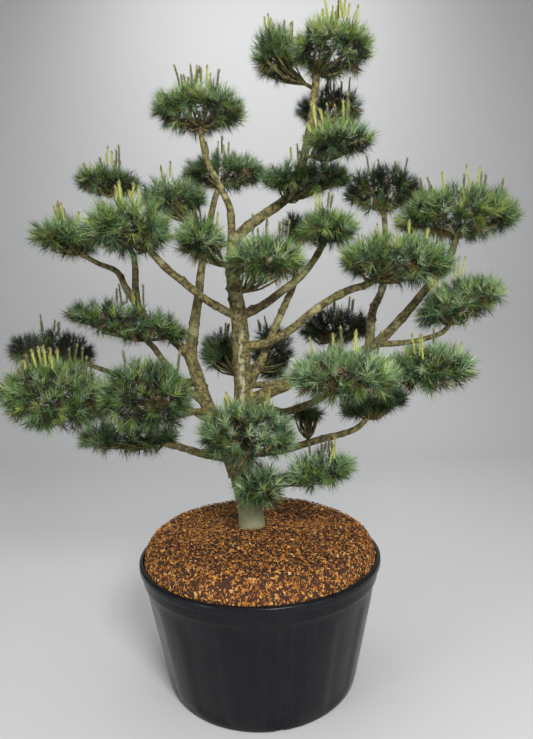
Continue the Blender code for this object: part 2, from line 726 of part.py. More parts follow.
def main():
    clear_scene()
    whole = bpy.data.objects.new("white_pine", None)
    bpy.context.scene.collection.objects.link(whole)
    pads = {name: Pad(name, *sizes) for name, sizes in PADS.items()}
    finish(build_pot(), make_material("pot_plastic", PLASTIC, 0.38), whole)
    finish(build_mulch(), make_material("bark_mulch", MULCH, 0.95), whole)
    trunk = build_trunk()
    limbs = build_boughs(trunk, pads)
    stems = {name: build_stem(pad, limbs) for name, pad in pads.items()}
    limb_trees = [tree_of(limb.item) for limb in limbs.values()]
    pad_trees = {}
    for name, pad in pads.items():
        bm = core_bmesh(pad)
        pad_trees[name] = [BVHTree.FromBMesh(bm), tree_of(stems[name])]
        bm.free()
    for name, pad in pads.items():
        others = [tree for other, trees in pad_trees.items() if other != name for tree in trees]
        build_pad(pad, stems[name], limb_trees, others)
        pad_trees[name] = [tree_of(stems[name])]
    for limb in limbs.values():
        place_at_own_root(limb.item, limb.path[0].copy())
        finish(limb.item, make_material(limb.name + "_bark", BARK, 0.85), whole)
    for name, pad in pads.items():
        colour = NEEDLE_DARK if "back" in name else NEEDLE
        place_at_own_root(stems[name], pad.middle.copy())
        finish(stems[name], make_material(name + "_needles", colour, 0.6), whole)


main()
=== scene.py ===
"""The looks of a cloud-pruned glauca japanese white pine in a black nursery pot."""

import math
import random

import bpy
import numpy as np
from mathutils import Matrix, Vector


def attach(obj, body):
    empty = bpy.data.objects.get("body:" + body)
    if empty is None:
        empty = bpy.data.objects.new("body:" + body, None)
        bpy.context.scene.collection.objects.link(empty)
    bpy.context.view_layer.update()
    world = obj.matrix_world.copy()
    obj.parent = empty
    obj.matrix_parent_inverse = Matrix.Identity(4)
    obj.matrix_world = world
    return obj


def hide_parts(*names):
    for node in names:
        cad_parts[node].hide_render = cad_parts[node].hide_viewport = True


bl_info = {
    "name": "Cloud-pruned white pine",
    "version": (1, 0, 0),
    "blender": (4, 5, 0),
    "location": "View3D > Sidebar > White Pine",
    "description": "Builds a cloud-pruned blue-green white pine in a nursery pot around its packed frame",
    "category": "Object",
}

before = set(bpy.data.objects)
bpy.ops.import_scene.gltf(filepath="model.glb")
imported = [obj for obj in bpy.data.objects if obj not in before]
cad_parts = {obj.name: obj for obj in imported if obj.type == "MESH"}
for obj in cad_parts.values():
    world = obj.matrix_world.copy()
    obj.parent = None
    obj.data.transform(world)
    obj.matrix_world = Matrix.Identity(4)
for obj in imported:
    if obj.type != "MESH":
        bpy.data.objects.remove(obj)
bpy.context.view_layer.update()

# Trunk: the points it runs through and its radius at each
MULCH_TOP = 0.566
SUNK_FOOT = 0.020
TRUNK_PATH = (
    (-0.030, 0.0, MULCH_TOP), (-0.040, 0.0, 0.660), (-0.062, 0.0, 0.760), (-0.066, 0.0, 0.860),
    (-0.052, 0.0, 1.050), (-0.054, 0.0, 1.260), (-0.060, 0.0, 1.390), (-0.078, 0.0, 1.530),
    (-0.074, 0.0, 1.660),
)
TRUNK_RADII = (0.0490, 0.0480, 0.0460, 0.0400, 0.0340, 0.0330, 0.0300, 0.0240, 0.0190)

# Each bough: the limb it springs from, its radius at root and tip, the points it runs through
BOUGHS = {
    "leader": ("trunk", 0.0205, 0.0145, (
        (-0.074, 0.0, 1.645), (-0.020, 0.0, 1.698), (0.052, 0.030, 1.756), (0.135, 0.080, 1.826),
        (0.190, 0.090, 1.925), (0.220, 0.080, 2.030), (0.244, 0.050, 2.147), (0.256, 0.010, 2.262),
    )),
    "bough_top_left": ("trunk", 0.0150, 0.0095, (
        (-0.076, 0.0, 1.640), (-0.076, -0.020, 1.742), (-0.084, -0.030, 1.782), (-0.119, -0.040, 1.854),
        (-0.159, -0.050, 1.941), (-0.176, -0.050, 2.050),
    )),
    "bough_left_main": ("trunk", 0.0300, 0.0240, (
        (-0.080, 0.0, 0.760), (-0.140, 0.030, 0.890), (-0.200, 0.060, 1.037), (-0.236, 0.080, 1.144),
        (-0.268, 0.100, 1.236),
    )),
    "bough_back_left": ("bough_left_main", 0.0230, 0.0110, (
        (-0.262, 0.100, 1.215), (-0.243, 0.130, 1.364), (-0.229, 0.160, 1.467), (-0.212, 0.190, 1.606),
        (-0.169, 0.260, 1.848), (-0.140, 0.290, 1.950),
    )),
    "bough_left_mid": ("bough_left_main", 0.0190, 0.0095, (
        (-0.262, 0.100, 1.215), (-0.331, 0.090, 1.293), (-0.397, 0.090, 1.346), (-0.451, 0.090, 1.399),
        (-0.468, 0.090, 1.480), (-0.471, 0.100, 1.596), (-0.500, 0.110, 1.743), (-0.545, 0.100, 1.880),
    )),
    "bough_far_left": ("bough_left_mid", 0.0150, 0.0075, (
        (-0.442, 0.090, 1.390), (-0.497, 0.070, 1.485), (-0.525, 0.040, 1.552), (-0.584, 0.0, 1.580),
        (-0.640, -0.030, 1.612),
    )),
    "bough_left_low": ("bough_left_main", 0.0150, 0.0105, (
        (-0.200, 0.060, 1.029), (-0.260, 0.050, 1.083), (-0.317, 0.030, 1.153), (-0.365, 0.010, 1.224),
        (-0.388, -0.010, 1.263), (-0.430, -0.050, 1.310),
    )),
    "bough_left_front": ("bough_left_main", 0.0130, 0.0095, (
        (-0.178, 0.050, 0.990), (-0.215, 0.0, 1.010), (-0.270, -0.110, 1.015), (-0.310, -0.200, 1.060),
    )),
    "bough_left_outer": ("bough_left_main", 0.0140, 0.0100, (
        (-0.165, 0.042, 0.955), (-0.300, 0.020, 1.030), (-0.440, -0.030, 1.050), (-0.600, -0.110, 1.060),
    )),
    "bough_left_base": ("bough_left_main", 0.0170, 0.0110, (
        (-0.110, 0.010, 0.822), (-0.198, -0.030, 0.848), (-0.285, -0.040, 0.878), (-0.346, -0.040, 0.894),
        (-0.440, -0.020, 0.925),
    )),
    "bough_left_back": ("bough_left_main", 0.0140, 0.0095, (
        (-0.222, 0.078, 1.110), (-0.396, 0.150, 1.118), (-0.571, 0.190, 1.145), (-0.740, 0.200, 1.205),
    )),
    "bough_front_left": ("trunk", 0.0165, 0.0115, (
        (-0.058, 0.0, 1.363), (-0.118, -0.040, 1.394), (-0.174, -0.090, 1.428), (-0.247, -0.160, 1.489),
        (-0.291, -0.210, 1.528), (-0.350, -0.270, 1.600),
    )),
    "bough_right_long": ("trunk", 0.0165, 0.0120, (
        (-0.052, 0.0, 1.255), (0.039, -0.030, 1.262), (0.132, -0.070, 1.309), (0.203, -0.100, 1.364),
        (0.272, -0.130, 1.410), (0.337, -0.170, 1.440), (0.393, -0.200, 1.456), (0.470, -0.230, 1.510),
    )),
    "bough_right_cross": ("trunk", 0.0175, 0.0110, (
        (-0.050, 0.0, 1.370), (0.031, 0.010, 1.406), (0.102, 0.0, 1.454), (0.176, -0.030, 1.506),
        (0.228, -0.070, 1.566), (0.262, -0.120, 1.625),
    )),
    "bough_right_rise": ("trunk", 0.0175, 0.0105, (
        (-0.050, 0.0, 1.060), (0.026, 0.030, 1.206), (0.079, 0.060, 1.322), (0.126, 0.080, 1.423),
        (0.160, 0.100, 1.500), (0.182, 0.130, 1.650), (0.184, 0.140, 1.710),
    )),
    "bough_right_low": ("trunk", 0.0165, 0.0105, (
        (-0.052, 0.0, 1.010), (0.051, -0.060, 1.016), (0.105, -0.100, 1.012), (0.175, -0.150, 1.040),
        (0.230, -0.220, 1.075), (0.280, -0.300, 1.130),
    )),
    "bough_right_base": ("trunk", 0.0170, 0.0100, (
        (-0.066, 0.0, 0.840), (0.047, 0.0, 0.846), (0.136, 0.0, 0.860), (0.220, -0.020, 0.887),
        (0.301, -0.030, 0.908), (0.375, -0.040, 0.935), (0.430, -0.030, 0.985),
    )),
    "bough_right_back": ("trunk", 0.0250, 0.0125, (
        (-0.054, 0.0, 1.030), (0.174, 0.080, 1.121), (0.358, 0.100, 1.188), (0.484, 0.080, 1.256),
        (0.576, 0.050, 1.350), (0.664, 0.030, 1.457), (0.741, 0.020, 1.555), (0.790, 0.020, 1.680),
    )),
    "bough_right_up": ("bough_right_back", 0.0185, 0.0110, (
        (0.455, 0.088, 1.240), (0.479, 0.140, 1.378), (0.533, 0.190, 1.483), (0.564, 0.250, 1.647),
        (0.564, 0.290, 1.860),
    )),
    "bough_right_small": ("bough_right_back", 0.0120, 0.0085, (
        (0.470, 0.080, 1.248), (0.580, 0.030, 1.252), (0.648, 0.0, 1.265), (0.712, -0.030, 1.294),
        (0.760, -0.040, 1.370),
    )),
    "bough_back_right": ("trunk", 0.0140, 0.0100, (
        (-0.050, 0.0, 1.105), (0.040, 0.080, 1.100), (0.190, 0.150, 1.120), (0.300, 0.260, 1.190),
        (0.345, 0.350, 1.290),
    )),
}

# Each pad: the limb it grows from, its middle, its half sizes, its slope in degrees, how many
# candle tufts it has, its tint
PADS = {
    "crown_front": ("leader", (0.302, -0.040, 2.312), (0.165, 0.160, 0.100), 0, 16, "lime"),
    "crown_left": ("leader", (0.110, 0.120, 2.385), (0.105, 0.110, 0.122), 0, 5, "green"),
    "crown_back": ("leader", (0.338, 0.270, 2.239), (0.150, 0.130, 0.085), 0, 6, "dark"),
    "crown_low": ("leader", (0.296, -0.270, 1.905), (0.122, 0.105, 0.068), 0, 9, "green"),
    "centre_high": ("leader", (0.205, -0.060, 1.854), (0.178, 0.112, 0.080), 0, 4, "deep"),
    "left_top": ("bough_top_left", (-0.179, -0.050, 2.105), (0.180, 0.160, 0.095), 0, 14, "green"),
    "left_back_high": ("bough_back_left", (-0.115, 0.300, 2.000), (0.200, 0.140, 0.095), 0, 8, "blue"),
    "left_back_low": ("bough_back_left", (-0.325, 0.200, 1.866), (0.150, 0.120, 0.098), 0, 3, "blue"),
    "left_high": ("bough_left_mid", (-0.564, 0.100, 1.906), (0.135, 0.140, 0.068), 0, 8, "deep"),
    "left_front": ("bough_front_left", (-0.384, -0.300, 1.630), (0.150, 0.150, 0.112), 0, 5, "green"),
    "far_left": ("bough_far_left", (-0.685, -0.040, 1.664), (0.128, 0.130, 0.092), -8, 5, "green"),
    "centre_left": ("trunk", (-0.164, -0.240, 1.600), (0.097, 0.110, 0.092), 0, 1, "green"),
    "centre_front": ("trunk", (0.046, -0.260, 1.530), (0.143, 0.120, 0.105), 0, 4, "green"),
    "right_back_high": ("bough_right_up", (0.570, 0.300, 1.900), (0.180, 0.150, 0.122), 0, 4, "dark"),
    "right_high": ("bough_right_back", (0.793, 0.020, 1.722), (0.252, 0.170, 0.125), 0, 10, "green"),
    "right_front": ("bough_right_long", (0.480, -0.240, 1.518), (0.208, 0.150, 0.110), -4, 3, "green"),
    "right_front_inner": ("bough_right_cross", (0.262, -0.200, 1.640), (0.110, 0.120, 0.085), 0, 2, "green"),
    "right_inner": ("bough_right_rise", (0.185, 0.160, 1.716), (0.075, 0.100, 0.078), 0, 0, "dark"),
    "right_small": ("bough_right_small", (0.768, -0.040, 1.396), (0.186, 0.130, 0.110), 18, 5, "blue"),
    "right_low_front": ("bough_right_low", (0.277, -0.350, 1.152), (0.192, 0.150, 0.112), 0, 4, "blue"),
    "right_low_outer": ("bough_right_back", (0.598, -0.180, 1.156), (0.168, 0.150, 0.112), 4, 4, "blue"),
    "right_low_under": ("bough_right_base", (0.448, 0.0, 1.020), (0.150, 0.110, 0.078), 12, 0, "deep"),
    "right_low_inner": ("bough_right_base", (0.195, 0.030, 0.982), (0.074, 0.070, 0.055), 0, 0, "deep"),
    "back_right": ("bough_back_right", (0.360, 0.370, 1.318), (0.180, 0.130, 0.110), 0, 3, "dark"),
    "back_left": ("trunk", (-0.152, 0.300, 1.222), (0.108, 0.110, 0.112), 0, 2, "deep"),
    "back_middle": ("trunk", (0.070, 0.300, 1.205), (0.106, 0.110, 0.155), 0, 2, "dark"),
    "left_mid": ("bough_left_low", (-0.455, -0.070, 1.342), (0.245, 0.115, 0.090), -12, 4, "deep"),
    "left_back_small": ("bough_left_back", (-0.866, 0.220, 1.243), (0.190, 0.130, 0.112), -5, 4, "dark"),
    "left_low_outer": ("bough_left_outer", (-0.692, -0.170, 1.084), (0.205, 0.165, 0.145), -8, 12, "green"),
    "left_low_front": ("bough_left_front", (-0.355, -0.280, 1.092), (0.172, 0.150, 0.145), -5, 4, "deep"),
    "left_low_under": ("bough_left_base", (-0.490, -0.010, 0.915), (0.205, 0.120, 0.090), 0, 0, "blue"),
    "foot_front": ("trunk", (-0.035, -0.230, 0.952), (0.185, 0.120, 0.132), -5, 5, "blue"),
    "foot_low": ("trunk", (0.006, -0.160, 0.752), (0.105, 0.095, 0.095), 0, 0, "blue"),
    "foot_right": ("trunk", (0.225, -0.130, 0.797), (0.138, 0.110, 0.085), 8, 5, "blue"),
}

# Pads that grow on from the very tip of their limb
TIP_PADS = (
    "crown_front", "left_top", "left_back_high", "left_high", "left_front", "far_left", "right_back_high",
    "right_high", "right_front", "right_front_inner", "right_inner", "right_small", "right_low_front",
    "right_low_under", "back_right", "left_mid", "left_back_small", "left_low_outer", "left_low_front",
    "left_low_under",
)

# Where a pad's stem leaves the side of its limb, as a height
SIDE_STEM_HEIGHTS = {
    "crown_left": 2.215, "crown_back": 2.090, "crown_low": 1.985, "centre_high": 1.800,
    "left_back_low": 1.735, "centre_left": 1.545, "centre_front": 1.440, "right_low_outer": 1.215,
    "right_low_inner": 0.878, "back_left": 1.130, "back_middle": 1.170, "foot_front": 0.900,
    "foot_low": 0.700, "foot_right": 0.745,
}

# Numbers of the needle colours that the inner needles take, and the short needles on a candle; on inner
# needles the deep and shade colours are painted shade, the brown is old needles
DEEP = 4
SHADE = 5
BROWN = 6
STUBS = 18
# Each tint's chance that a candle takes the bright candle colour; the rest take the dull candle colour,
# painted shade for candles in shaded pads
BRIGHT_CANDLES = {"blue": 0.8, "green": 0.55, "lime": 0.9, "deep": 0.2, "dark": 0.1}

# A pad's shape: how much flatter it is below, its lumps, and how far in a bough runs before it ends
PAD_UNDERSIDE = 0.90
LUMPS = 7
LUMP_DEPTH = 0.10
BOUGH_END_SHARE = 0.79

# Sprays: fewer of them stand below, needles spread over the end of the shoot, the inner ones in shade
UNDERSIDE_FROM = -0.45
UNDERSIDE_CHANCE = 0.62
SHOOT_LENGTH = 0.040
INNER_NEEDLES = 0.40

# Twigs: how many forks stand low and high in a pad, and the radii of branchlets and twigs
LOW_FORKS = 13
HIGH_FORKS = 7
BRANCHLET_RADII = (0.0048, 0.0030)
TWIG_RADII = (0.0024, 0.0021, 0.0018, 0.0010)
SIDE_STEM_RADIUS = 0.0075
STEM_RINGS = 14

# Candles: radii from foot to tip, of the bud, and of one short needle
CANDLE_RADII = (0.0030, 0.0032, 0.0030, 0.0026, 0.0022)
BUD_RADII = (0.0024, 0.0036, 0.0008)
STUB_RADII = (0.0008, 0.0011, 0.0002)
GOLDEN_TURN = 2.4

# How many pads share one mesh of needles, one of twigs and one of candles
PADS_IN_PIECE = 6

# Limbs: how fine their skin is, the collar at their foot, how far apart swells and knots stand
RINGS_ON_POINT = 12
SKIN_RING = 0.006
TRUNK_SIDES = 40
BOUGH_SIDES = 22
TRUNK_COLLAR = 0.10
BOUGH_COLLAR = 0.28
COLLAR_LENGTH = 0.022
SWELL_EVERY = 0.16
KNOT_EVERY = 0.12

# The pot's wall and foot, its drain slots, and the mulch heaped in it
WALL_RADIUS = 0.436
WALL_TOP = 0.399
WALL_PANELS = 10
PANEL_DEPTH = 0.0026
POT_FLOOR = 0.02
POT_SEGMENTS = 168
DRAIN_SLOTS = 7
DRAIN_SLOT_TURN = -80.7
DRAIN_SLOT_HALF = (0.016, 0.015, 0.0090)
MULCH_EDGE = 0.437
MULCH_SHOULDER = 0.365
MULCH_RINGS = 46
MULCH_SEGMENTS = 150

# How the needle colours are dealt out: each tint's chance of each colour
NEEDLE_ROUGHNESS = 0.36
NEEDLE_COLOURS = ("frost", "blue", "leaf", "lime", "deep", "shade", "brown")
TINTS = {
    "blue": (0.30, 0.36, 0.16, 0.03, 0.13, 0.02, 0.00),
    "green": (0.12, 0.24, 0.34, 0.10, 0.17, 0.03, 0.00),
    "lime": (0.16, 0.16, 0.28, 0.28, 0.11, 0.01, 0.00),
    # The deep mix, darker than the needles' own green, is partly painted shade, for pads mostly inside, under
    # and behind the crown
    "deep": (0.05, 0.20, 0.25, 0.03, 0.33, 0.14, 0.00),
    # The dark mix is painted shade: nearly all deep and shade colours, for pads at the back and inside the
    # crown
    "dark": (0.00, 0.02, 0.05, 0.01, 0.28, 0.64, 0.00),
}
# The sprays under a pad: darker colours as painted shade under the pad, with some brown old needles
UNDERSIDE_TINT = (0.02, 0.12, 0.22, 0.03, 0.34, 0.17, 0.10)

# Colours that only touch up a finish: a painted highlight down the trunk's front, a mossy tint at its foot,
# dust on the pot
TRUNK_HIGHLIGHT = (0.44, 0.42, 0.27)
MOSSY_FOOT = (0.26, 0.27, 0.16)
POT_DUST = (0.026, 0.027, 0.030)


# Properties

def colour_setting(name, description, default):
    return bpy.props.FloatVectorProperty(name=name, description=description, subtype="COLOR", default=default)


def length_setting(name, description, default):
    return bpy.props.FloatProperty(name=name, description=description, unit="LENGTH", default=default)


class PineSizes(bpy.types.PropertyGroup):
    """What a user would change on the tree."""

    needle_length: length_setting("Needle length", "Length of one needle", 0.045)
    needle_width: length_setting("Needle width", "Width of one needle", 0.0019)
    needles_in_spray: bpy.props.IntProperty(
        name="Needles in a spray", description="How many needles one shoot carries", default=38, min=4)
    sprays_on_square_metre: bpy.props.FloatProperty(
        name="Sprays on a square metre", description="How densely the sprays cover a pad", default=800.0)
    candle_length: length_setting("Candle length", "Longest upright young shoot", 0.064)
    frost: colour_setting("Frosted needles", "Colour of the palest blue-green needles", (0.320, 0.440, 0.215))
    blue: colour_setting("Blue needles", "Colour of the blue-green needles", (0.102, 0.195, 0.080))
    leaf: colour_setting("Green needles", "Colour of the plain green needles", (0.122, 0.205, 0.038))
    lime: colour_setting("Young needles", "Colour of the yellow-green needles", (0.36, 0.42, 0.10))
    # The deep colour is partly the needles' own deep green, partly painted shade on inner needles and shaded
    # pads; the shade colour is painted shade only
    deep: colour_setting("Deep needles", "Colour of the deep green needles", (0.024, 0.050, 0.014))
    shade: colour_setting("Shaded needles", "Colour of the darkest needles", (0.0065, 0.0110, 0.0055))
    brown: colour_setting("Old needles", "Colour of the dry needles inside", (0.17, 0.095, 0.025))
    # The dull candle colour is painted shade: a darker copy of the candle colour for candles in shaded pads
    old_candle: colour_setting("Dull candles", "Colour of the duller young shoots", (0.095, 0.100, 0.038))
    candle: colour_setting("Candles", "Colour of the young shoots", (0.34, 0.36, 0.085))
    bud: colour_setting("Buds", "Colour of the tips of the young shoots", (0.22, 0.17, 0.06))


class BarkLooks(bpy.types.PropertyGroup):
    """The bark of trunk, boughs and twigs."""

    bark: colour_setting("Bark", "Main colour of the bark", (0.205, 0.175, 0.055))
    bark_dark: colour_setting("Dark bark", "Colour in the creases", (0.050, 0.038, 0.014))
    lichen: colour_setting("Pale patches", "Colour of the pale patches", (0.40, 0.37, 0.18))
    relief: length_setting("Relief", "Height of the bark's relief on the trunk", 0.0022)


class PotLooks(bpy.types.PropertyGroup):
    """The pot and the mulch in it."""

    rim_radius: length_setting("Rim radius", "Outer radius of the pot's lip", 0.4565)
    height: length_setting("Height", "Height of the pot", 0.472)
    base_radius: length_setting("Base radius", "Outer radius of the pot's foot", 0.354)
    plastic: colour_setting("Plastic", "Colour of the pot", (0.0055, 0.0060, 0.0075))
    chips: bpy.props.IntProperty(
        name="Chips", description="How many bark chips lie on top", default=16000)
    chip_length: length_setting("Chip length", "Longest bark chip", 0.019)


class StageLooks(bpy.types.PropertyGroup):
    """Floor, backdrop and light."""

    floor: colour_setting("Floor", "Colour of the floor and the backdrop", (0.60, 0.60, 0.60))
    key_power: bpy.props.FloatProperty(
        name="Key light", description="What the power of each light is worked out from", default=120.0)


# Shader expressions

class Shade:
    """A socket that can be written in sums and products."""

    def __init__(self, tree, socket):
        self.tree = tree
        self.socket = socket

    def maths(self, operation, *terms):
        node = self.tree.nodes.new("ShaderNodeMath")
        node.operation = operation
        for slot, term in zip(node.inputs, terms):
            link(self.tree, term, slot)
        return Shade(self.tree, node.outputs[0])

    def __add__(self, other):
        return self.maths("ADD", self, other)

    def __radd__(self, other):
        return self.maths("ADD", other, self)

    def __sub__(self, other):
        return self.maths("SUBTRACT", self, other)

    def __rsub__(self, other):
        return self.maths("SUBTRACT", other, self)

    def __mul__(self, other):
        return self.maths("MULTIPLY", self, other)

    def __rmul__(self, other):
        return self.maths("MULTIPLY", other, self)

    def step(self, low, high):
        """0 below low, 1 above high, smooth between."""
        node = self.tree.nodes.new("ShaderNodeMapRange")
        node.interpolation_type = "SMOOTHSTEP"
        link(self.tree, self, node.inputs["Value"])
        node.inputs["From Min"].default_value = low
        node.inputs["From Max"].default_value = high
        return Shade(self.tree, node.outputs["Result"])


def link(tree, term, socket):
    """Joins a shade to the socket, or sets the socket to a plain value."""
    if isinstance(term, Shade):
        tree.links.new(term.socket, socket)
    else:
        socket.default_value = term


class Finish:
    """A material under construction."""

    def __init__(self, name):
        self.material = bpy.data.materials.new(name)
        self.material.use_nodes = True
        self.tree = self.material.node_tree
        self.shader = self.tree.nodes["Principled BSDF"]

    def node(self, kind, settings=None, output=0, **inputs):
        """Any node: its settings are set first, then its sockets by name."""
        node = self.tree.nodes.new(kind)
        for key, value in (settings or {}).items():
            setattr(node, key, value)
        for key, value in inputs.items():
            link(self.tree, value, node.inputs[key.replace("_", " ")])
        return Shade(self.tree, node.outputs[output])

    def place(self):
        return self.node("ShaderNodeTexCoord", output="Object")

    def stretched(self, scale):
        return self.node("ShaderNodeMapping", Vector=self.place(), Scale=scale)

    def noise(self, scale, detail=4.0, roughness=0.55, vector=None):
        return self.node("ShaderNodeTexNoise", output="Fac", Vector=vector or self.place(),
                         Scale=scale, Detail=detail, Roughness=roughness)

    def mixed(self, factor, first, second):
        node = self.tree.nodes.new("ShaderNodeMix")
        node.data_type = "RGBA"
        link(self.tree, factor, node.inputs[0])
        for term, socket in ((first, node.inputs[6]), (second, node.inputs[7])):
            link(self.tree, term if isinstance(term, Shade) else (*term, 1.0), socket)
        return Shade(self.tree, node.outputs[2])

    def bump(self, height, strength, distance):
        node = self.tree.nodes.new("ShaderNodeBump")
        node.inputs["Strength"].default_value = strength
        node.inputs["Distance"].default_value = distance
        link(self.tree, height, node.inputs["Height"])
        self.tree.links.new(node.outputs["Normal"], self.shader.inputs["Normal"])

    def set(self, **values):
        for key, value in values.items():
            socket = self.shader.inputs[key.replace("_", " ")]
            if isinstance(value, tuple) and len(value) == 3 and socket.type == "RGBA":
                value = (*value, 1.0)
            link(self.tree, value, socket)
        return self.material


def plain_finish(name, colour, roughness):
    return Finish(name).set(Base_Color=tuple(colour), Roughness=roughness)


def bark_finish(name, looks, relief_scale):
    """Olive-brown young bark: pale patches, dark rings and creases."""
    finish = Finish(name)
    rings = finish.noise(26.0 * relief_scale, 5.0, 0.6, finish.stretched((1.0, 1.0, 5.0)))
    patches = finish.noise(11.0, 3.0, 0.6).step(0.55, 0.66)
    creases = finish.noise(70.0, 4.0, 0.65).step(0.40, 0.62)
    colour = finish.mixed(creases, looks.bark_dark, looks.bark)
    colour = finish.mixed(patches * 0.55, colour, looks.lichen)
    colour = finish.mixed((1 - rings.step(0.34, 0.46)) * 0.75, colour, looks.bark_dark)
    if name == "trunk_bark":
        height = finish.node("ShaderNodeSeparateXYZ", output="Z", Vector=finish.place())
        foot = 1 - (height + finish.noise(14.0) * 0.05).step(MULCH_TOP + 0.075, MULCH_TOP + 0.125)
        colour = finish.mixed(foot * 0.75, colour, MOSSY_FOOT)
        # A painted highlight: a pale stripe down the middle of the trunk's front, on the side that faces the
        # camera and the key light
        sideways = finish.node("ShaderNodeSeparateXYZ", output="X", Vector=finish.place())
        depth = finish.node("ShaderNodeSeparateXYZ", output="Y", Vector=finish.place())
        off_band = sideways + 0.052 + (finish.noise(30.0, 4.0) - 0.5) * 0.030
        band = (1 - off_band.step(0.006, 0.012)) * off_band.step(-0.010, -0.004)
        band = band * (1 - depth.step(-0.012, 0.0))
        band = band * height.step(0.93, 1.02) * (1 - height.step(1.27, 1.33))
        band = band * finish.noise(24.0, 3.0).step(0.40, 0.56)
        colour = finish.mixed(band * 0.75, colour, TRUNK_HIGHLIGHT)
    finish.bump(rings * 0.6 + finish.noise(160.0, 3.0) * 0.4, 0.55, 0.002)
    return finish.set(Base_Color=colour, Roughness=0.72 + finish.noise(40.0) * 0.2)


def plastic_finish(looks):
    """Satin black moulded plastic with faint dust and flow marks."""
    finish = Finish("pot_plastic")
    dust = finish.noise(7.0, 6.0, 0.7).step(0.45, 0.85)
    streaks = finish.noise(9.0, 4.0, 0.6, finish.stretched((6.0, 6.0, 0.6))).step(0.35, 0.75)
    colour = finish.mixed(dust * 0.16 + streaks * 0.12, looks.plastic, POT_DUST)
    finish.bump(finish.noise(420.0, 2.0), 0.10, 0.0006)
    roughness = 0.22 + dust * 0.16 + streaks * 0.08
    return finish.set(Base_Color=colour, Roughness=roughness, Specular_IOR_Level=0.17)


def chip_finishes():
    """The bark chips' colours, from dark soil brown to pale splinters."""
    tones = (
        ("chip_orange", (0.430, 0.150, 0.018)), ("chip_tan", (0.600, 0.270, 0.048)),
        ("chip_brown", (0.190, 0.058, 0.010)), ("chip_dark", (0.050, 0.017, 0.005)),
        ("chip_pale", (0.700, 0.420, 0.165)),
    )
    finishes = []
    for name, colour in tones:
        finish = Finish(name)
        grain = finish.noise(240.0, 3.0, 0.6, finish.stretched((1.0, 0.3, 1.0)))
        darker = tuple(0.55 * c for c in colour)
        finish.bump(grain, 0.4, 0.001)
        grained = finish.mixed(grain.step(0.3, 0.7), darker, colour)
        finishes.append(finish.set(Base_Color=grained, Roughness=0.9))
    return finishes


# Mesh arrays

def mesh_object(name, points, faces, tones=None, materials=(), smooth=False):
    """An object from arrays: points (n, 3), triangles (m, 3) and each triangle's material."""
    mesh = bpy.data.meshes.new(name)
    mesh.vertices.add(len(points))
    mesh.vertices.foreach_set("co", np.ascontiguousarray(points, np.float32).ravel())
    mesh.loops.add(len(faces) * 3)
    mesh.loops.foreach_set("vertex_index", np.ascontiguousarray(faces, np.int32).ravel())
    mesh.polygons.add(len(faces))
    mesh.polygons.foreach_set("loop_start", np.arange(0, 3 * len(faces), 3, dtype=np.int32))
    for material in materials:
        mesh.materials.append(material)
    if tones is not None:
        mesh.polygons.foreach_set("material_index", np.ascontiguousarray(tones, np.int32))
    mesh.polygons.foreach_set("use_smooth", np.full(len(faces), smooth))
    mesh.update(calc_edges=True)
    mesh.validate()
    item = bpy.data.objects.new(name, mesh)
    bpy.context.scene.collection.objects.link(item)
    return item


class Gathered:
    """Shapes gathered for one joined mesh."""

    def __init__(self):
        self.points = []
        self.faces = []
        self.tones = []
        self.size = 0

    def add(self, points, faces, tones=0):
        self.points.append(points)
        self.faces.append(faces + self.size)
        self.tones.append(np.broadcast_to(tones, len(faces)))
        self.size += len(points)

    def build(self, name, materials, smooth=False):
        return mesh_object(name, np.concatenate(self.points), np.concatenate(self.faces),
                           np.concatenate(self.tones), materials, smooth)


def smooth_path(points, rings):
    """Points spread along one smooth curve through the given ones."""
    points = [np.array(p, float) for p in points]
    ends = [2 * points[0] - points[1], *points, 2 * points[-1] - points[-2]]
    spans = len(points) - 1
    path = []
    for i in range(rings):
        place = i / (rings - 1) * spans
        span = min(int(place), spans - 1)
        t = place - span
        a, b, c, d = ends[span:span + 4]
        bend = 2 * a - 5 * b + 4 * c - d
        path.append(0.5 * (2 * b + (c - a) * t + bend * t**2 + (3 * b - a - 3 * c + d) * t**3))
    return np.array(path)


def unit(vectors):
    return vectors / np.maximum(np.linalg.norm(vectors, axis=-1, keepdims=True), 1e-9)


def ring_frames(path):
    """Two directions across the path at each of its points, without twist."""
    tangents = unit(np.gradient(path, axis=0))
    side = np.cross(tangents[0], (0.0, 0.0, 1.0))
    if np.linalg.norm(side) < 0.1:
        side = np.array((1.0, 0.0, 0.0))
    sides = []
    for tangent in tangents:
        side = side - tangent * side.dot(tangent)
        side = side / np.linalg.norm(side)
        sides.append(side)
    sides = np.array(sides)
    return sides, np.cross(tangents, sides)


def band_faces(low, high, sides):
    """Triangles between two rings of points that start at low and high."""
    k = np.arange(sides)
    n = (k + 1) % sides
    halves = (low + k, low + n, high + n), (low + k, high + n, high + k)
    return np.concatenate([np.stack(corners, 1) for corners in halves])


def fan_faces(first, sides, middle):
    """Triangles from a ring of points to one middle point."""
    k = np.arange(sides)
    return np.stack([first + k, first + (k + 1) % sides, np.full(sides, middle)], 1)


def tube(path, radii, sides):
    """A closed tube: radii is one value for each ring, or one for each ring and side."""
    across, other = ring_frames(path)
    angles = 2 * math.pi * np.arange(sides) / sides
    radii = np.broadcast_to(np.reshape(radii, (len(path), -1)), (len(path), sides))
    rings = path[:, None] + radii[..., None] * (
        np.cos(angles)[None, :, None] * across[:, None] + np.sin(angles)[None, :, None] * other[:, None])
    points = np.concatenate([rings.reshape(-1, 3), path[:1], path[-1:]])
    last = (len(path) - 1) * sides
    faces = [band_faces(low, low + sides, sides) for low in range(0, last, sides)]
    foot = fan_faces(0, sides, last + sides)[:, (1, 0, 2)]
    return points, np.concatenate([*faces, foot, fan_faces(last, sides, last + sides + 1)])


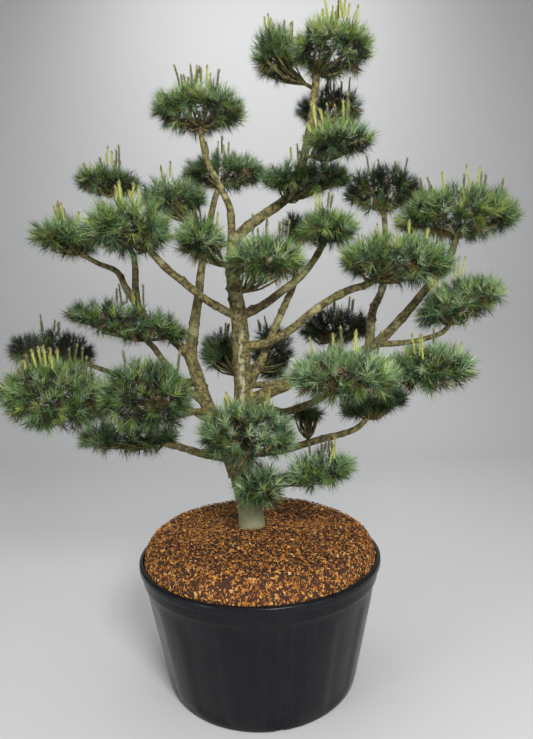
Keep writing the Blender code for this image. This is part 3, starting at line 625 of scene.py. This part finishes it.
def wavy(points, seed, scale):
    """A smooth random value between about -1 and 1 at each point."""
    rng = np.random.default_rng(seed)
    total = np.zeros(points.shape[:-1])
    for octave in range(3):
        for _ in range(4):
            direction = unit(rng.normal(size=3)) * scale * 2.0**octave
            total += np.sin(points @ direction + rng.uniform(0, 2 * math.pi)) * 0.6**octave
    return total / 4.0


# The tree's rule

class Pad:
    """One pad of needles: a flattened dome with lumps."""

    def __init__(self, name, holder, middle, half, slope, candles, tint):
        self.name = name
        self.holder = holder
        self.middle = np.array(middle)
        self.half = np.array(half)
        self.turn = np.array(Matrix.Rotation(math.radians(-slope), 3, "Y"))
        self.candles = candles
        self.tint = tint
        self.random = random.Random(name)
        self.lumps = np.array([self.direction() for _ in range(LUMPS)])
        self.rng = np.random.default_rng(self.random.randrange(2**31))
        self.stem = None

    def direction(self):
        u = self.random.uniform(-0.6, 1.0)
        angle = self.random.uniform(0.0, 2 * math.pi)
        flat = math.sqrt(1 - u * u)
        return flat * math.cos(angle), flat * math.sin(angle), u

    def surface(self, u, share=1.0):
        """The points on the pad's outside along unit directions, scaled by the share."""
        reach = 1 - LUMP_DEPTH * np.clip((0.95 - (u @ self.lumps.T).max(axis=1)) / 0.5, 0.0, 1.0)
        local = u * self.half
        local[:, 2] *= np.where(u[:, 2] < 0, PAD_UNDERSIDE, 1.0)
        return self.middle + (local * (reach * share)[:, None]) @ self.turn.T

    def outward(self, u):
        return unit((u / self.half) @ self.turn.T)

    def holds(self, points, share):
        local = (points - self.middle) @ self.turn
        half = np.where(local[:, 2:] < 0, self.half * (1, 1, PAD_UNDERSIDE), self.half)
        return ((local / half) ** 2).sum(axis=1) < share**2

    def area(self):
        a, b, c = self.half
        power = 1.6
        mean = ((a * b) ** power + (a * c) ** power + (b * c) ** power) / 3
        return 4 * math.pi * mean ** (1 / power)

    def directions(self, count):
        """Unit directions spread evenly by the golden angle, each moved a little."""
        i = np.arange(count)
        u = 1 - 2 * (i + 0.5) / count
        angle = math.pi * (3 - math.sqrt(5)) * i + self.rng.uniform(0, 2 * math.pi)
        flat = np.sqrt(1 - u * u)
        spread = np.stack([flat * np.cos(angle), flat * np.sin(angle), u], 1)
        return unit(spread + self.rng.normal(scale=0.10, size=(count, 3)))


def grow_tree():
    """The pads, and each limb's path and radii; a bough ends where it enters its pad."""
    pads = {name: Pad(name, *values) for name, values in PADS.items()}
    limbs = {}
    rings = RINGS_ON_POINT * len(TRUNK_PATH)
    spread = np.linspace(0, len(TRUNK_RADII) - 1, rings)
    radii = np.interp(spread, range(len(TRUNK_RADII)), TRUNK_RADII)
    limbs["trunk"] = (smooth_path(TRUNK_PATH, rings), radii)
    tips = {PADS[name][0]: pads[name] for name in TIP_PADS}
    for name, (_, root, tip, points) in BOUGHS.items():
        fine = smooth_path(points, RINGS_ON_POINT * len(points))
        pad = tips.get(name)
        if pad:
            inside = np.nonzero(pad.holds(fine, BOUGH_END_SHARE))[0]
            fine = fine[: inside[0] + 1] if len(inside) else fine
        radii = np.linspace(root, tip, len(fine))
        limbs[name] = (fine, radii)
    return pads, limbs


def grow_stem(pad, limbs):
    """The pad's stem: on from the bough's tip, or out of the limb's side."""
    path, radii = limbs[pad.holder]
    if pad.name in TIP_PADS:
        tip = path[-1]
        ahead = unit(tip - path[-2])
        points = [tip, tip + ahead * 0.25 * pad.half[2], pad.middle]
        radius = radii[-1]
    else:
        root = path[np.argmin(np.abs(path[:, 2] - SIDE_STEM_HEIGHTS[pad.name]))]
        elbow = (root + pad.middle) / 2 - (0.0, 0.0, 0.015)
        points = [root, elbow, pad.middle]
        radius = SIDE_STEM_RADIUS
    return smooth_path(points, STEM_RINGS), np.linspace(radius, radius * 0.5, STEM_RINGS)


def spray_places(pad, sizes):
    """Foot and direction of each spray of a pad, and whether it hangs under the pad."""
    count = max(30, round(pad.area() * sizes.sprays_on_square_metre))
    u = pad.directions(count)
    u = u[(u[:, 2] > UNDERSIDE_FROM) | (pad.rng.uniform(size=count) < UNDERSIDE_CHANCE)]
    count = len(u)
    lift = np.where(u[:, 2:] > -0.35, 0.34, 0.10)
    ahead = unit(pad.outward(u) + lift * (0.0, 0.0, 1.0) + pad.rng.normal(scale=0.20, size=(count, 3)))
    depth = pad.rng.uniform(-0.006, 0.016, size=(count, 1))
    tips = pad.surface(u) - pad.outward(u) * (0.020 + depth)
    return tips, ahead, u[:, 2] < -0.25


def dealt_tones(pad, under):
    """A needle colour's number for each spray, dealt out by the pad's tint."""
    colours = len(NEEDLE_COLOURS)
    # Sprays under the pad take the underside mix, painted shade with some brown old needles
    below = pad.rng.choice(colours, len(under), p=UNDERSIDE_TINT)
    above = pad.rng.choice(colours, len(under), p=TINTS[pad.tint])
    return np.where(under, below, above)


def needle_arrays(pad, sizes, places):
    """Every needle of a pad: a three-sided spike, in sprays round the ends of the shoots."""
    tips, ahead, under = places
    rng = pad.rng
    each = sizes.needles_in_spray
    sprays = len(tips)
    count = sprays * each
    spray = np.repeat(np.arange(sprays), each)
    axis = ahead[spray]
    across = unit(np.cross(axis, unit(rng.normal(size=(sprays, 3)))[spray]))
    other = np.cross(axis, across)
    along = rng.uniform(0.0, 1.0, count)
    lean = np.radians(14 + 62 * (1 - along) ** 0.75 + rng.normal(scale=6, size=count))
    turn = rng.uniform(0, 2 * math.pi, count)
    ring = np.cos(turn)[:, None] * across + np.sin(turn)[:, None] * other
    heading = unit(np.cos(lean)[:, None] * axis + np.sin(lean)[:, None] * ring + (0.0, 0.0, 0.05))
    size = rng.uniform(0.82, 1.12, sprays)[spray]
    length = sizes.needle_length * size * rng.uniform(0.80, 1.10, count)
    foot = tips[spray] - axis * (SHOOT_LENGTH * (1 - along))[:, None]
    side = unit(np.cross(heading, rng.normal(size=(count, 3))))
    back = np.cross(heading, side)
    radius = (sizes.needle_width * rng.uniform(0.42, 0.62, count))[:, None]
    feet = [foot + radius * (math.cos(a) * side + math.sin(a) * back) for a in (0.0, 2.1, 4.2)]
    points = np.stack([*feet, foot + heading * length[:, None]], 1).reshape(-1, 3)
    start = np.arange(count)[:, None] * 4
    faces = np.concatenate([start + (0, 1, 3), start + (1, 2, 3), start + (2, 0, 3)], 1)
    main = dealt_tones(pad, under)
    mate = dealt_tones(pad, under)
    # The inner needles of each spray take brown, deep or shade colours: the brown is old needles, the deep
    # and shade colours are painted shade
    brown = rng.uniform(size=sprays) < 0.10
    deep = rng.uniform(size=sprays) < 0.36
    inner = np.where(brown, BROWN, np.where(deep, DEEP, SHADE))
    outer = np.where(rng.uniform(size=count) < 0.66, main[spray], mate[spray])
    tone = np.where(along < INNER_NEEDLES, inner[spray], outer)
    return points, faces.reshape(-1, 3), np.repeat(tone, 3)


def add_twigs(gathered, pad, places):
    """A fan of branchlets under the pad, and from each the twigs that carry the sprays."""
    tips, ahead, _ = places
    stem = pad.stem[0]
    fan = pad.directions(LOW_FORKS)
    fan[:, 2] = -0.10 - 0.55 * np.abs(fan[:, 2])
    forks = pad.surface(unit(fan), 0.70)
    forks = np.concatenate([forks, pad.surface(pad.directions(HIGH_FORKS), 0.38)])
    nearest = ((tips[:, None] - forks[None]) ** 2).sum(axis=2).argmin(axis=1)
    hub = stem[3]
    for fork in forks:
        bend = (hub + fork) / 2 - (0.0, 0.0, 0.010) + pad.rng.normal(scale=0.006, size=3)
        gathered.add(*tube(smooth_path([hub, bend, fork], 5), np.linspace(*BRANCHLET_RADII, 5), 5))
    for tip, direction, owner in zip(tips, ahead, nearest):
        foot = tip - direction * SHOOT_LENGTH
        path = np.array([forks[owner], (forks[owner] + foot) / 2 - (0, 0, 0.004), foot, tip])
        gathered.add(*tube(path, TWIG_RADII, 3))


def add_candles(gathered, pad, sizes):
    """Upright young shoots with short needles held close and a bud at the tip."""
    rng = pad.rng
    for _ in range(pad.candles):
        angle = rng.uniform(0, 2 * math.pi)
        out = rng.uniform(0.1, 0.85)
        middle = np.array([out * math.cos(angle), out * math.sin(angle), math.sqrt(1 - out * out)])
        # Material 2 is the dull candle colour, painted shade, given to most candles of the dark and deep pads
        # and to some of the others
        bright = 0 if rng.uniform() < BRIGHT_CANDLES[pad.tint] else 2
        for _ in range(rng.integers(1, 3)):
            u = unit((middle + rng.normal(scale=0.09, size=3))[None])
            lean = unit(np.array([0.24 * u[0, 0], 0.24 * u[0, 1], 1.0]) + rng.normal(scale=0.08, size=3))
            foot = pad.surface(u, 0.88)[0]
            length = sizes.candle_length * rng.uniform(0.35, 1.15)
            bend = foot + lean * length * 0.5 + rng.normal(scale=0.002, size=3)
            path = smooth_path([foot, bend, foot + lean * length], 5)
            gathered.add(*tube(path, CANDLE_RADII, 5), bright)
            bud = np.array([path[-1], path[-1] + lean * 0.006, path[-1] + lean * 0.013])
            gathered.add(*tube(bud, BUD_RADII, 5), 1)
            for k in range(STUBS):
                at = foot + lean * length * (0.15 + 0.82 * k / STUBS)
                turn = GOLDEN_TURN * k
                away = unit(np.array([math.cos(turn), math.sin(turn), 0.0]) * 0.45 + lean)
                tip = at + away * rng.uniform(0.012, 0.020)
                gathered.add(*tube(np.array([at, (at + tip) / 2, tip]), STUB_RADII, 3), bright)


# Pieces

class PINE_OT_pot(bpy.types.Operator):
    """Turns the pot with its lip, collar, faint wall panels and drain slots"""

    bl_idname = "pine.pot"
    bl_label = "Pot"

    def execute(self, context):
        looks = context.scene.pine_pot
        rim, top, base = looks.rim_radius, looks.height, looks.base_radius
        lip = [(rim - 0.0125 + 0.0125 * math.sin(a), top - 0.0075 + 0.0075 * math.cos(a))
               for a in np.linspace(0, math.pi / 2, 7)]
        collar = [(rim, top - 0.024), (rim - 0.002, top - 0.0285), (rim - 0.010, top - 0.030),
                  (0.4465, top - 0.036), (0.4450, 0.412), (0.4440, 0.406), (0.4410, 0.4025), (0.4370, 0.4010)]
        wall = [(base + (WALL_RADIUS - base) * t, WALL_TOP * t) for t in np.linspace(1, 0.02, 24)]
        foot = [(base - 0.003, 0.002), (base - 0.008, 0.0)]
        inside = [(0.346, POT_FLOOR), (0.432, 0.40), (0.438, top - 0.030), (rim - 0.016, top - 0.003),
                  (rim - 0.0125, top)]
        profile = [*inside, *lip[1:], *collar, *wall, *foot]
        segments = POT_SEGMENTS
        angles = 2 * math.pi * np.arange(segments) / segments
        rings = []
        for radius, height in profile:
            panel = 0.0
            if 0.03 < height < 0.385 and (radius, height) in wall:
                fade = min(1.0, (0.385 - height) / 0.05)
                panel = PANEL_DEPTH * np.tanh(4 * np.sin(WALL_PANELS * angles)) * fade
            out = radius + panel
            rings.append(np.stack([out * np.cos(angles), out * np.sin(angles), np.full(segments, height)], 1))
        points = np.concatenate([*rings, [[0.0, 0.0, POT_FLOOR]], [[0.0, 0.0, 0.0]]])
        last = (len(rings) - 1) * segments
        floor = fan_faces(0, segments, len(points) - 2)[:, (1, 0, 2)]
        bands = [band_faces(low, low + segments, segments) for low in range(0, last, segments)]
        faces = np.concatenate([floor, *bands, fan_faces(last, segments, len(points) - 1)])[:, ::-1]
        pot = mesh_object("pot_shell", points, faces, None, [plastic_finish(looks)])
        cut_drain_slots(pot, base)
        pot.data.shade_smooth()
        pot.data.set_sharp_from_angle(angle=math.radians(38))
        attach(pot, "root")
        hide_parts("pot")
        return {"FINISHED"}


def cut_drain_slots(pot, base):
    """The low slots where the wall meets the foot."""
    boxes = Gathered()
    corners = np.array([(x, y, z) for x in (-1, 1) for y in (-1, 1) for z in (-1, 1)]) * DRAIN_SLOT_HALF
    quads = ((0, 1, 3, 2), (4, 6, 7, 5), (0, 4, 5, 1), (2, 3, 7, 6), (0, 2, 6, 4), (1, 5, 7, 3))
    triangles = np.array([(a, b, c) for a, b, c, _ in quads] + [(a, c, d) for a, _, c, d in quads])
    for k in range(DRAIN_SLOTS):
        angle = math.radians(DRAIN_SLOT_TURN + 360.0 * k / DRAIN_SLOTS)
        turn = np.array(Matrix.Rotation(angle, 3, "Z"))
        boxes.add((corners + (base, 0.0, 0.0)) @ turn.T, triangles)
    cutter = boxes.build("slot_cutter", [])
    modifier = pot.modifiers.new("slots", "BOOLEAN")
    modifier.operation = "DIFFERENCE"
    modifier.object = cutter
    graph = bpy.context.evaluated_depsgraph_get()
    pot.data = bpy.data.meshes.new_from_object(pot.evaluated_get(graph))
    pot.modifiers.clear()
    bpy.data.objects.remove(cutter)


def mound_height(radius):
    """The mulch's height at a distance from the pot's middle."""
    down = (radius - MULCH_SHOULDER) / (MULCH_EDGE - MULCH_SHOULDER)
    rim = 0.458 + 0.092 * np.sqrt(np.clip(1 - down**2, 0, 1))
    flat = 0.550 + 0.016 * np.clip((MULCH_SHOULDER - radius) / (MULCH_SHOULDER - 0.14), 0, 1)
    return np.where(radius > MULCH_SHOULDER, rim, flat)


def mulch_surface(radius, angle):
    """Points on the mulch: the mound with soft hollows, level at the rim and round the trunk."""
    x = radius * np.cos(angle)
    y = radius * np.sin(angle)
    hollows = wavy(np.stack([x, y, 0 * x], -1), 3, 17.0) * 0.010 - 0.004
    calm = np.clip((0.425 - radius) / 0.06, 0, 1) * np.clip((np.hypot(x + 0.03, y) - 0.06) / 0.06, 0, 1)
    return np.stack([x, y, mound_height(radius) + hollows * calm], -1)


class PINE_OT_mulch(bpy.types.Operator):
    """Heaps the bark mulch and scatters its chips"""

    bl_idname = "pine.mulch"
    bl_label = "Mulch"

    def execute(self, context):
        looks = context.scene.pine_pot
        finishes = chip_finishes()
        rings, segments = MULCH_RINGS, MULCH_SEGMENTS
        radii = (MULCH_EDGE - 0.0005) * np.sin(np.linspace(0.0, math.pi / 2, rings))[1:]
        angles = 2 * math.pi * np.arange(segments) / segments
        radius, angle = np.meshgrid(radii, angles, indexing="ij")
        flat = mulch_surface(radius, angle).reshape(-1, 3) - (0.0, 0.0, 0.006)
        wall = flat[-segments:] - (0.0, 0.0, 0.06)
        points = np.concatenate([[[0.0, 0.0, MULCH_TOP - 0.006]], flat, wall])
        faces = [fan_faces(1, segments, 0)]
        for low in range(1, 1 + (rings - 1) * segments, segments):
            faces.append(band_faces(low, low + segments, segments)[:, ::-1])
        # The bed takes the dark chip colour: where it shows in the gaps between the chips it is painted shade
        bed = mesh_object("mulch_bed", points, np.concatenate(faces), None, [finishes[3]], smooth=True)
        chips = scatter_chips(looks, finishes)
        for piece in (bed, chips):
            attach(piece, "root")
            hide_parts("mulch")
        return {"FINISHED"}


def scatter_chips(looks, finishes):
    """Flat irregular splinters of bark, most of them lying down, as thick on the steep edge as on top."""
    rng = np.random.default_rng(11)
    count = looks.chips
    radii = np.linspace(0.0, MULCH_EDGE - 0.0002, 900)
    steep = np.hypot(np.diff(radii), np.diff(mound_height(radii)))
    spread = np.concatenate([[0.0], np.cumsum(steep * (radii[1:] + radii[:-1]))])
    radius = np.interp(rng.uniform(0, spread[-1], count), spread, radii)
    angle = rng.uniform(0, 2 * math.pi, count)
    middle = mulch_surface(radius, angle)
    middle[:, 2] += rng.uniform(-0.006, 0.003, count)
    slope = (mound_height(radius + 0.002) - mound_height(radius - 0.002)) / 0.004
    slope = np.clip(slope, -3.0, 0.0)
    normal = unit(np.stack([-slope * np.cos(angle), -slope * np.sin(angle), np.ones(count)], 1))
    normal = unit(normal + rng.normal(scale=0.30, size=(count, 3)))
    along = unit(np.cross(normal, rng.normal(size=(count, 3))))
    across = np.cross(normal, along)
    length = looks.chip_length * rng.uniform(0.30, 1.0, count) ** 1.3 / 2
    width = np.clip(length * rng.uniform(0.25, 0.6, count), 0.0016, 0.0052)
    thick = width * rng.uniform(0.30, 0.55, count)
    shape = np.array([(1, 0, 0), (-1, 0, 0), (0, 1, 0), (0, -1, 0), (0, 0, 1), (0, 0, -1)], float)
    shape = shape[None] + rng.uniform(-0.35, 0.35, size=(count, 6, 3))
    points = (middle[:, None] + shape[..., 0:1] * (length[:, None] * along)[:, None]
              + shape[..., 1:2] * (width[:, None] * across)[:, None]
              + shape[..., 2:3] * (thick[:, None] * normal)[:, None]).reshape(-1, 3)
    top = [(0, 2, 4), (2, 1, 4), (1, 3, 4), (3, 0, 4)]
    triangles = np.array(top + [(b, a, 5) for a, b, _ in top])
    faces = (np.arange(count)[:, None, None] * 6 + triangles[None]).reshape(-1, 3)
    tones = np.repeat(rng.choice(5, count, p=(0.37, 0.25, 0.19, 0.11, 0.08)), 8)
    return mesh_object("mulch_chips", points, faces, tones, finishes)


class PINE_OT_limbs(bpy.types.Operator):
    """Grows the trunk and boughs with bark relief, knots and collars"""

    bl_idname = "pine.limbs"
    bl_label = "Trunk and boughs"

    def execute(self, context):
        looks = context.scene.pine_bark
        _, limbs = grow_tree()
        trunk_bark = bark_finish("trunk_bark", looks, 1.0)
        bough_bark = bark_finish("bough_bark", looks, 1.6)
        for name, (path, radii) in limbs.items():
            finish = trunk_bark if name == "trunk" else bough_bark
            piece = bark_limb(name, path, radii, looks.relief, finish)
            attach(piece, "root")
            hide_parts(name)
        return {"FINISHED"}


def bark_limb(name, path, radii, relief, finish):
    """One limb as a fine tube whose skin swells, cracks and has knots."""
    rng = np.random.default_rng(sum(map(ord, name)))
    if name == "trunk":
        path = np.concatenate([path[:1] - (0.0, 0.0, SUNK_FOOT), path])
        radii = np.concatenate([radii[:1], radii])
    length = np.linalg.norm(np.diff(path, axis=0), axis=1).sum()
    rings = max(24, round(length / SKIN_RING))
    spread = np.linspace(0, len(path) - 1, rings)
    fine = np.stack([np.interp(spread, range(len(path)), path[:, axis]) for axis in range(3)], 1)
    girth = np.interp(spread, range(len(path)), radii)
    sides = TRUNK_SIDES if name == "trunk" else BOUGH_SIDES
    along = np.linspace(0.0, length, rings)
    collar = TRUNK_COLLAR if name == "trunk" else BOUGH_COLLAR
    girth = girth * (1 + collar * np.exp(-along / COLLAR_LENGTH))
    for _ in range(round(length / SWELL_EVERY)):
        at = rng.uniform(0.08, 0.95) * length
        girth = girth * (1 + rng.uniform(0.05, 0.16) * np.exp(-(((along - at) / 0.009) ** 2)))
    angles = 2 * math.pi * np.arange(sides) / sides
    across, other = ring_frames(fine)
    skin = fine[:, None] + girth[:, None, None] * (
        np.cos(angles)[None, :, None] * across[:, None] + np.sin(angles)[None, :, None] * other[:, None])
    height = relief * np.minimum(1.0, girth / 0.030)[:, None]
    bumps = 0.6 * wavy(skin, 5, 70.0) + 0.5 * wavy(skin * (1, 1, 3.0), 6, 150.0)
    widths = girth[:, None] + height * bumps
    for _ in range(max(1, round(length / KNOT_EVERY))):
        at = rng.uniform(0.05, 0.95) * length
        turn = rng.uniform(0, 2 * math.pi)
        near = np.cos(angles[None] - turn) - 1
        knot = np.exp(near * 9) * np.exp(-(((along[:, None] - at) / 0.008) ** 2))
        widths = widths + knot * girth[:, None] * rng.uniform(0.15, 0.4)
    points, faces = tube(fine, widths, sides)
    return mesh_object(name + "_skin", points, faces, None, [finish], smooth=True)


class PINE_OT_pads(bpy.types.Operator):
    """Fills the pads with twigs, sprays of needles and candles"""

    bl_idname = "pine.pads"
    bl_label = "Needle pads"

    def execute(self, context):
        sizes = context.scene.pine_sizes
        looks = context.scene.pine_bark
        pads, limbs = grow_tree()
        needle_finishes = [plain_finish("needles_" + tone, getattr(sizes, tone), NEEDLE_ROUGHNESS)
                           for tone in NEEDLE_COLOURS]
        candle_finishes = [plain_finish("candle", sizes.candle, 0.55), plain_finish("bud", sizes.bud, 0.6),
                           plain_finish("old_candle", sizes.old_candle, 0.6)]
        twig_bark = bark_finish("twig_bark", looks, 2.4)
        for first in range(0, len(pads), PADS_IN_PIECE):
            group = list(pads)[first:first + PADS_IN_PIECE]
            needles, twigs, candles = Gathered(), Gathered(), Gathered()
            for name in group:
                pad = pads[name]
                pad.stem = grow_stem(pad, limbs)
                places = spray_places(pad, sizes)
                needles.add(*needle_arrays(pad, sizes, places))
                twigs.add(*tube(*pad.stem, 8))
                add_twigs(twigs, pad, places)
                add_candles(candles, pad, sizes)
            tag = "_" + "abcdefgh"[first // PADS_IN_PIECE]
            pieces = [
                (needles.build("needles" + tag, needle_finishes), "needles"),
                (twigs.build("twigs" + tag, [twig_bark], smooth=True), "bark"),
                (candles.build("candles" + tag, candle_finishes), "needles"),
            ]
            for piece, slot in pieces:
                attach(piece, "root")
                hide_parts(*group)
        return {"FINISHED"}


# Stage

CAMERA_PLACE = (0.0419, -1.9300, 1.2633)
CAMERA_PITCH = 2.983
CAMERA_ROLL = -1.4377
CAMERA_LENS = 24.66
SENSOR_HEIGHT = 36.0


class PINE_OT_stage(bpy.types.Operator):
    """Sets the floor, the backdrop, the lights and the camera"""

    bl_idname = "pine.stage"
    bl_label = "Stage"

    def execute(self, context):
        looks = context.scene.pine_stage
        finish = plain_finish("stage_paint", looks.floor, 0.85)
        half, back, height, bend = 8.0, 5.0, 8.0, 1.5
        profile = [(-7.0, 0.0), (back - bend, 0.0)]
        profile += [(back - bend + bend * math.sin(a), bend - bend * math.cos(a))
                    for a in np.linspace(0.1, 1.5, 12)]
        profile.append((back, height))
        points = np.array([(x, y, z) for y, z in profile for x in (-half, half)])
        faces = []
        for i in range(len(profile) - 1):
            faces += [(2 * i, 2 * i + 1, 2 * i + 3), (2 * i, 2 * i + 3, 2 * i + 2)]
        sweep = mesh_object("backdrop", points, np.array(faces), None, [finish], smooth=True)
        add_area_light("key_light", (0.8, -2.8, 2.45), (0.0, 0.1, 1.3), 0.9, looks.key_power * 0.98)
        add_area_light("fill_light", (-2.6, -1.8, 2.0), (0.0, 0.0, 1.2), 2.0, looks.key_power * 0.12)
        for side, power in ((-1, 0.10), (1, 0.07)):
            name = "strip_light_" + ("l" if side < 0 else "r")
            strip = add_area_light(
                name, (side * 1.9, -1.9, 0.75), (0.0, 0.0, 0.4), 1.6, looks.key_power * power)
            strip.data.shape = "RECTANGLE"
            strip.data.size = 0.16
            strip.data.size_y = 1.6
        add_area_light("top_light", (0.0, 0.1, 4.6), (0.0, 0.1, 0.0), 3.0, looks.key_power * 0.30)
        add_area_light("wall_light", (0.0, 2.4, 5.4), (0.0, 5.0, 2.0), 4.0, looks.key_power * 0.86)
        world = bpy.data.worlds.new("studio")
        world.use_nodes = True
        world.node_tree.nodes["Background"].inputs["Color"].default_value = (0.95, 0.97, 1.0, 1.0)
        world.node_tree.nodes["Background"].inputs["Strength"].default_value = 0.27
        context.scene.world = world
        camera = bpy.data.objects.new("camera", bpy.data.cameras.new("camera"))
        context.scene.collection.objects.link(camera)
        camera.data.sensor_fit = "VERTICAL"
        camera.data.sensor_height = SENSOR_HEIGHT
        camera.data.lens = CAMERA_LENS
        pitch = Matrix.Rotation(math.pi / 2 - math.radians(CAMERA_PITCH), 4, "X")
        roll = Matrix.Rotation(math.radians(CAMERA_ROLL), 4, "Z")
        camera.matrix_world = Matrix.Translation(CAMERA_PLACE) @ pitch @ roll
        context.scene.camera = camera
        context.scene.view_settings.view_transform = "Standard"
        return {"FINISHED"}


def add_area_light(name, place, target, size, power):
    light = bpy.data.lights.new(name, "AREA")
    light.shape = "SQUARE"
    light.size = size
    light.energy = power
    item = bpy.data.objects.new(name, light)
    item.location = place
    item.rotation_euler = (Vector(target) - Vector(place)).to_track_quat("-Z", "Y").to_euler()
    bpy.context.scene.collection.objects.link(item)
    return item


class PINE_PT_panel(bpy.types.Panel):
    """Lists the pieces in the sidebar"""

    bl_idname = "PINE_PT_panel"
    bl_label = "White Pine"
    bl_space_type = "VIEW_3D"
    bl_region_type = "UI"
    bl_category = "White Pine"

    def draw(self, context):
        for operator in OPERATORS:
            self.layout.operator(operator.bl_idname)
        for group in PROPERTY_GROUPS:
            box = self.layout.box()
            for key in PROPERTY_GROUPS[group].__annotations__:
                box.prop(getattr(context.scene, group), key)


OPERATORS = (PINE_OT_pot, PINE_OT_mulch, PINE_OT_limbs, PINE_OT_pads, PINE_OT_stage)
PROPERTY_GROUPS = {
    "pine_sizes": PineSizes, "pine_bark": BarkLooks, "pine_pot": PotLooks, "pine_stage": StageLooks,
}


def register():
    for group, kind in PROPERTY_GROUPS.items():
        bpy.utils.register_class(kind)
        setattr(bpy.types.Scene, group, bpy.props.PointerProperty(type=kind))
    for operator in OPERATORS:
        bpy.utils.register_class(operator)
    bpy.utils.register_class(PINE_PT_panel)


def unregister():
    bpy.utils.unregister_class(PINE_PT_panel)
    for operator in reversed(OPERATORS):
        bpy.utils.unregister_class(operator)
    for group, kind in PROPERTY_GROUPS.items():
        delattr(bpy.types.Scene, group)
        bpy.utils.unregister_class(kind)


def main():
    register()
    bpy.ops.pine.pot()
    bpy.ops.pine.mulch()
    bpy.ops.pine.limbs()
    bpy.ops.pine.pads()
    bpy.ops.pine.stage()
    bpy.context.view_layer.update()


if __name__ == "__main__":
    main()
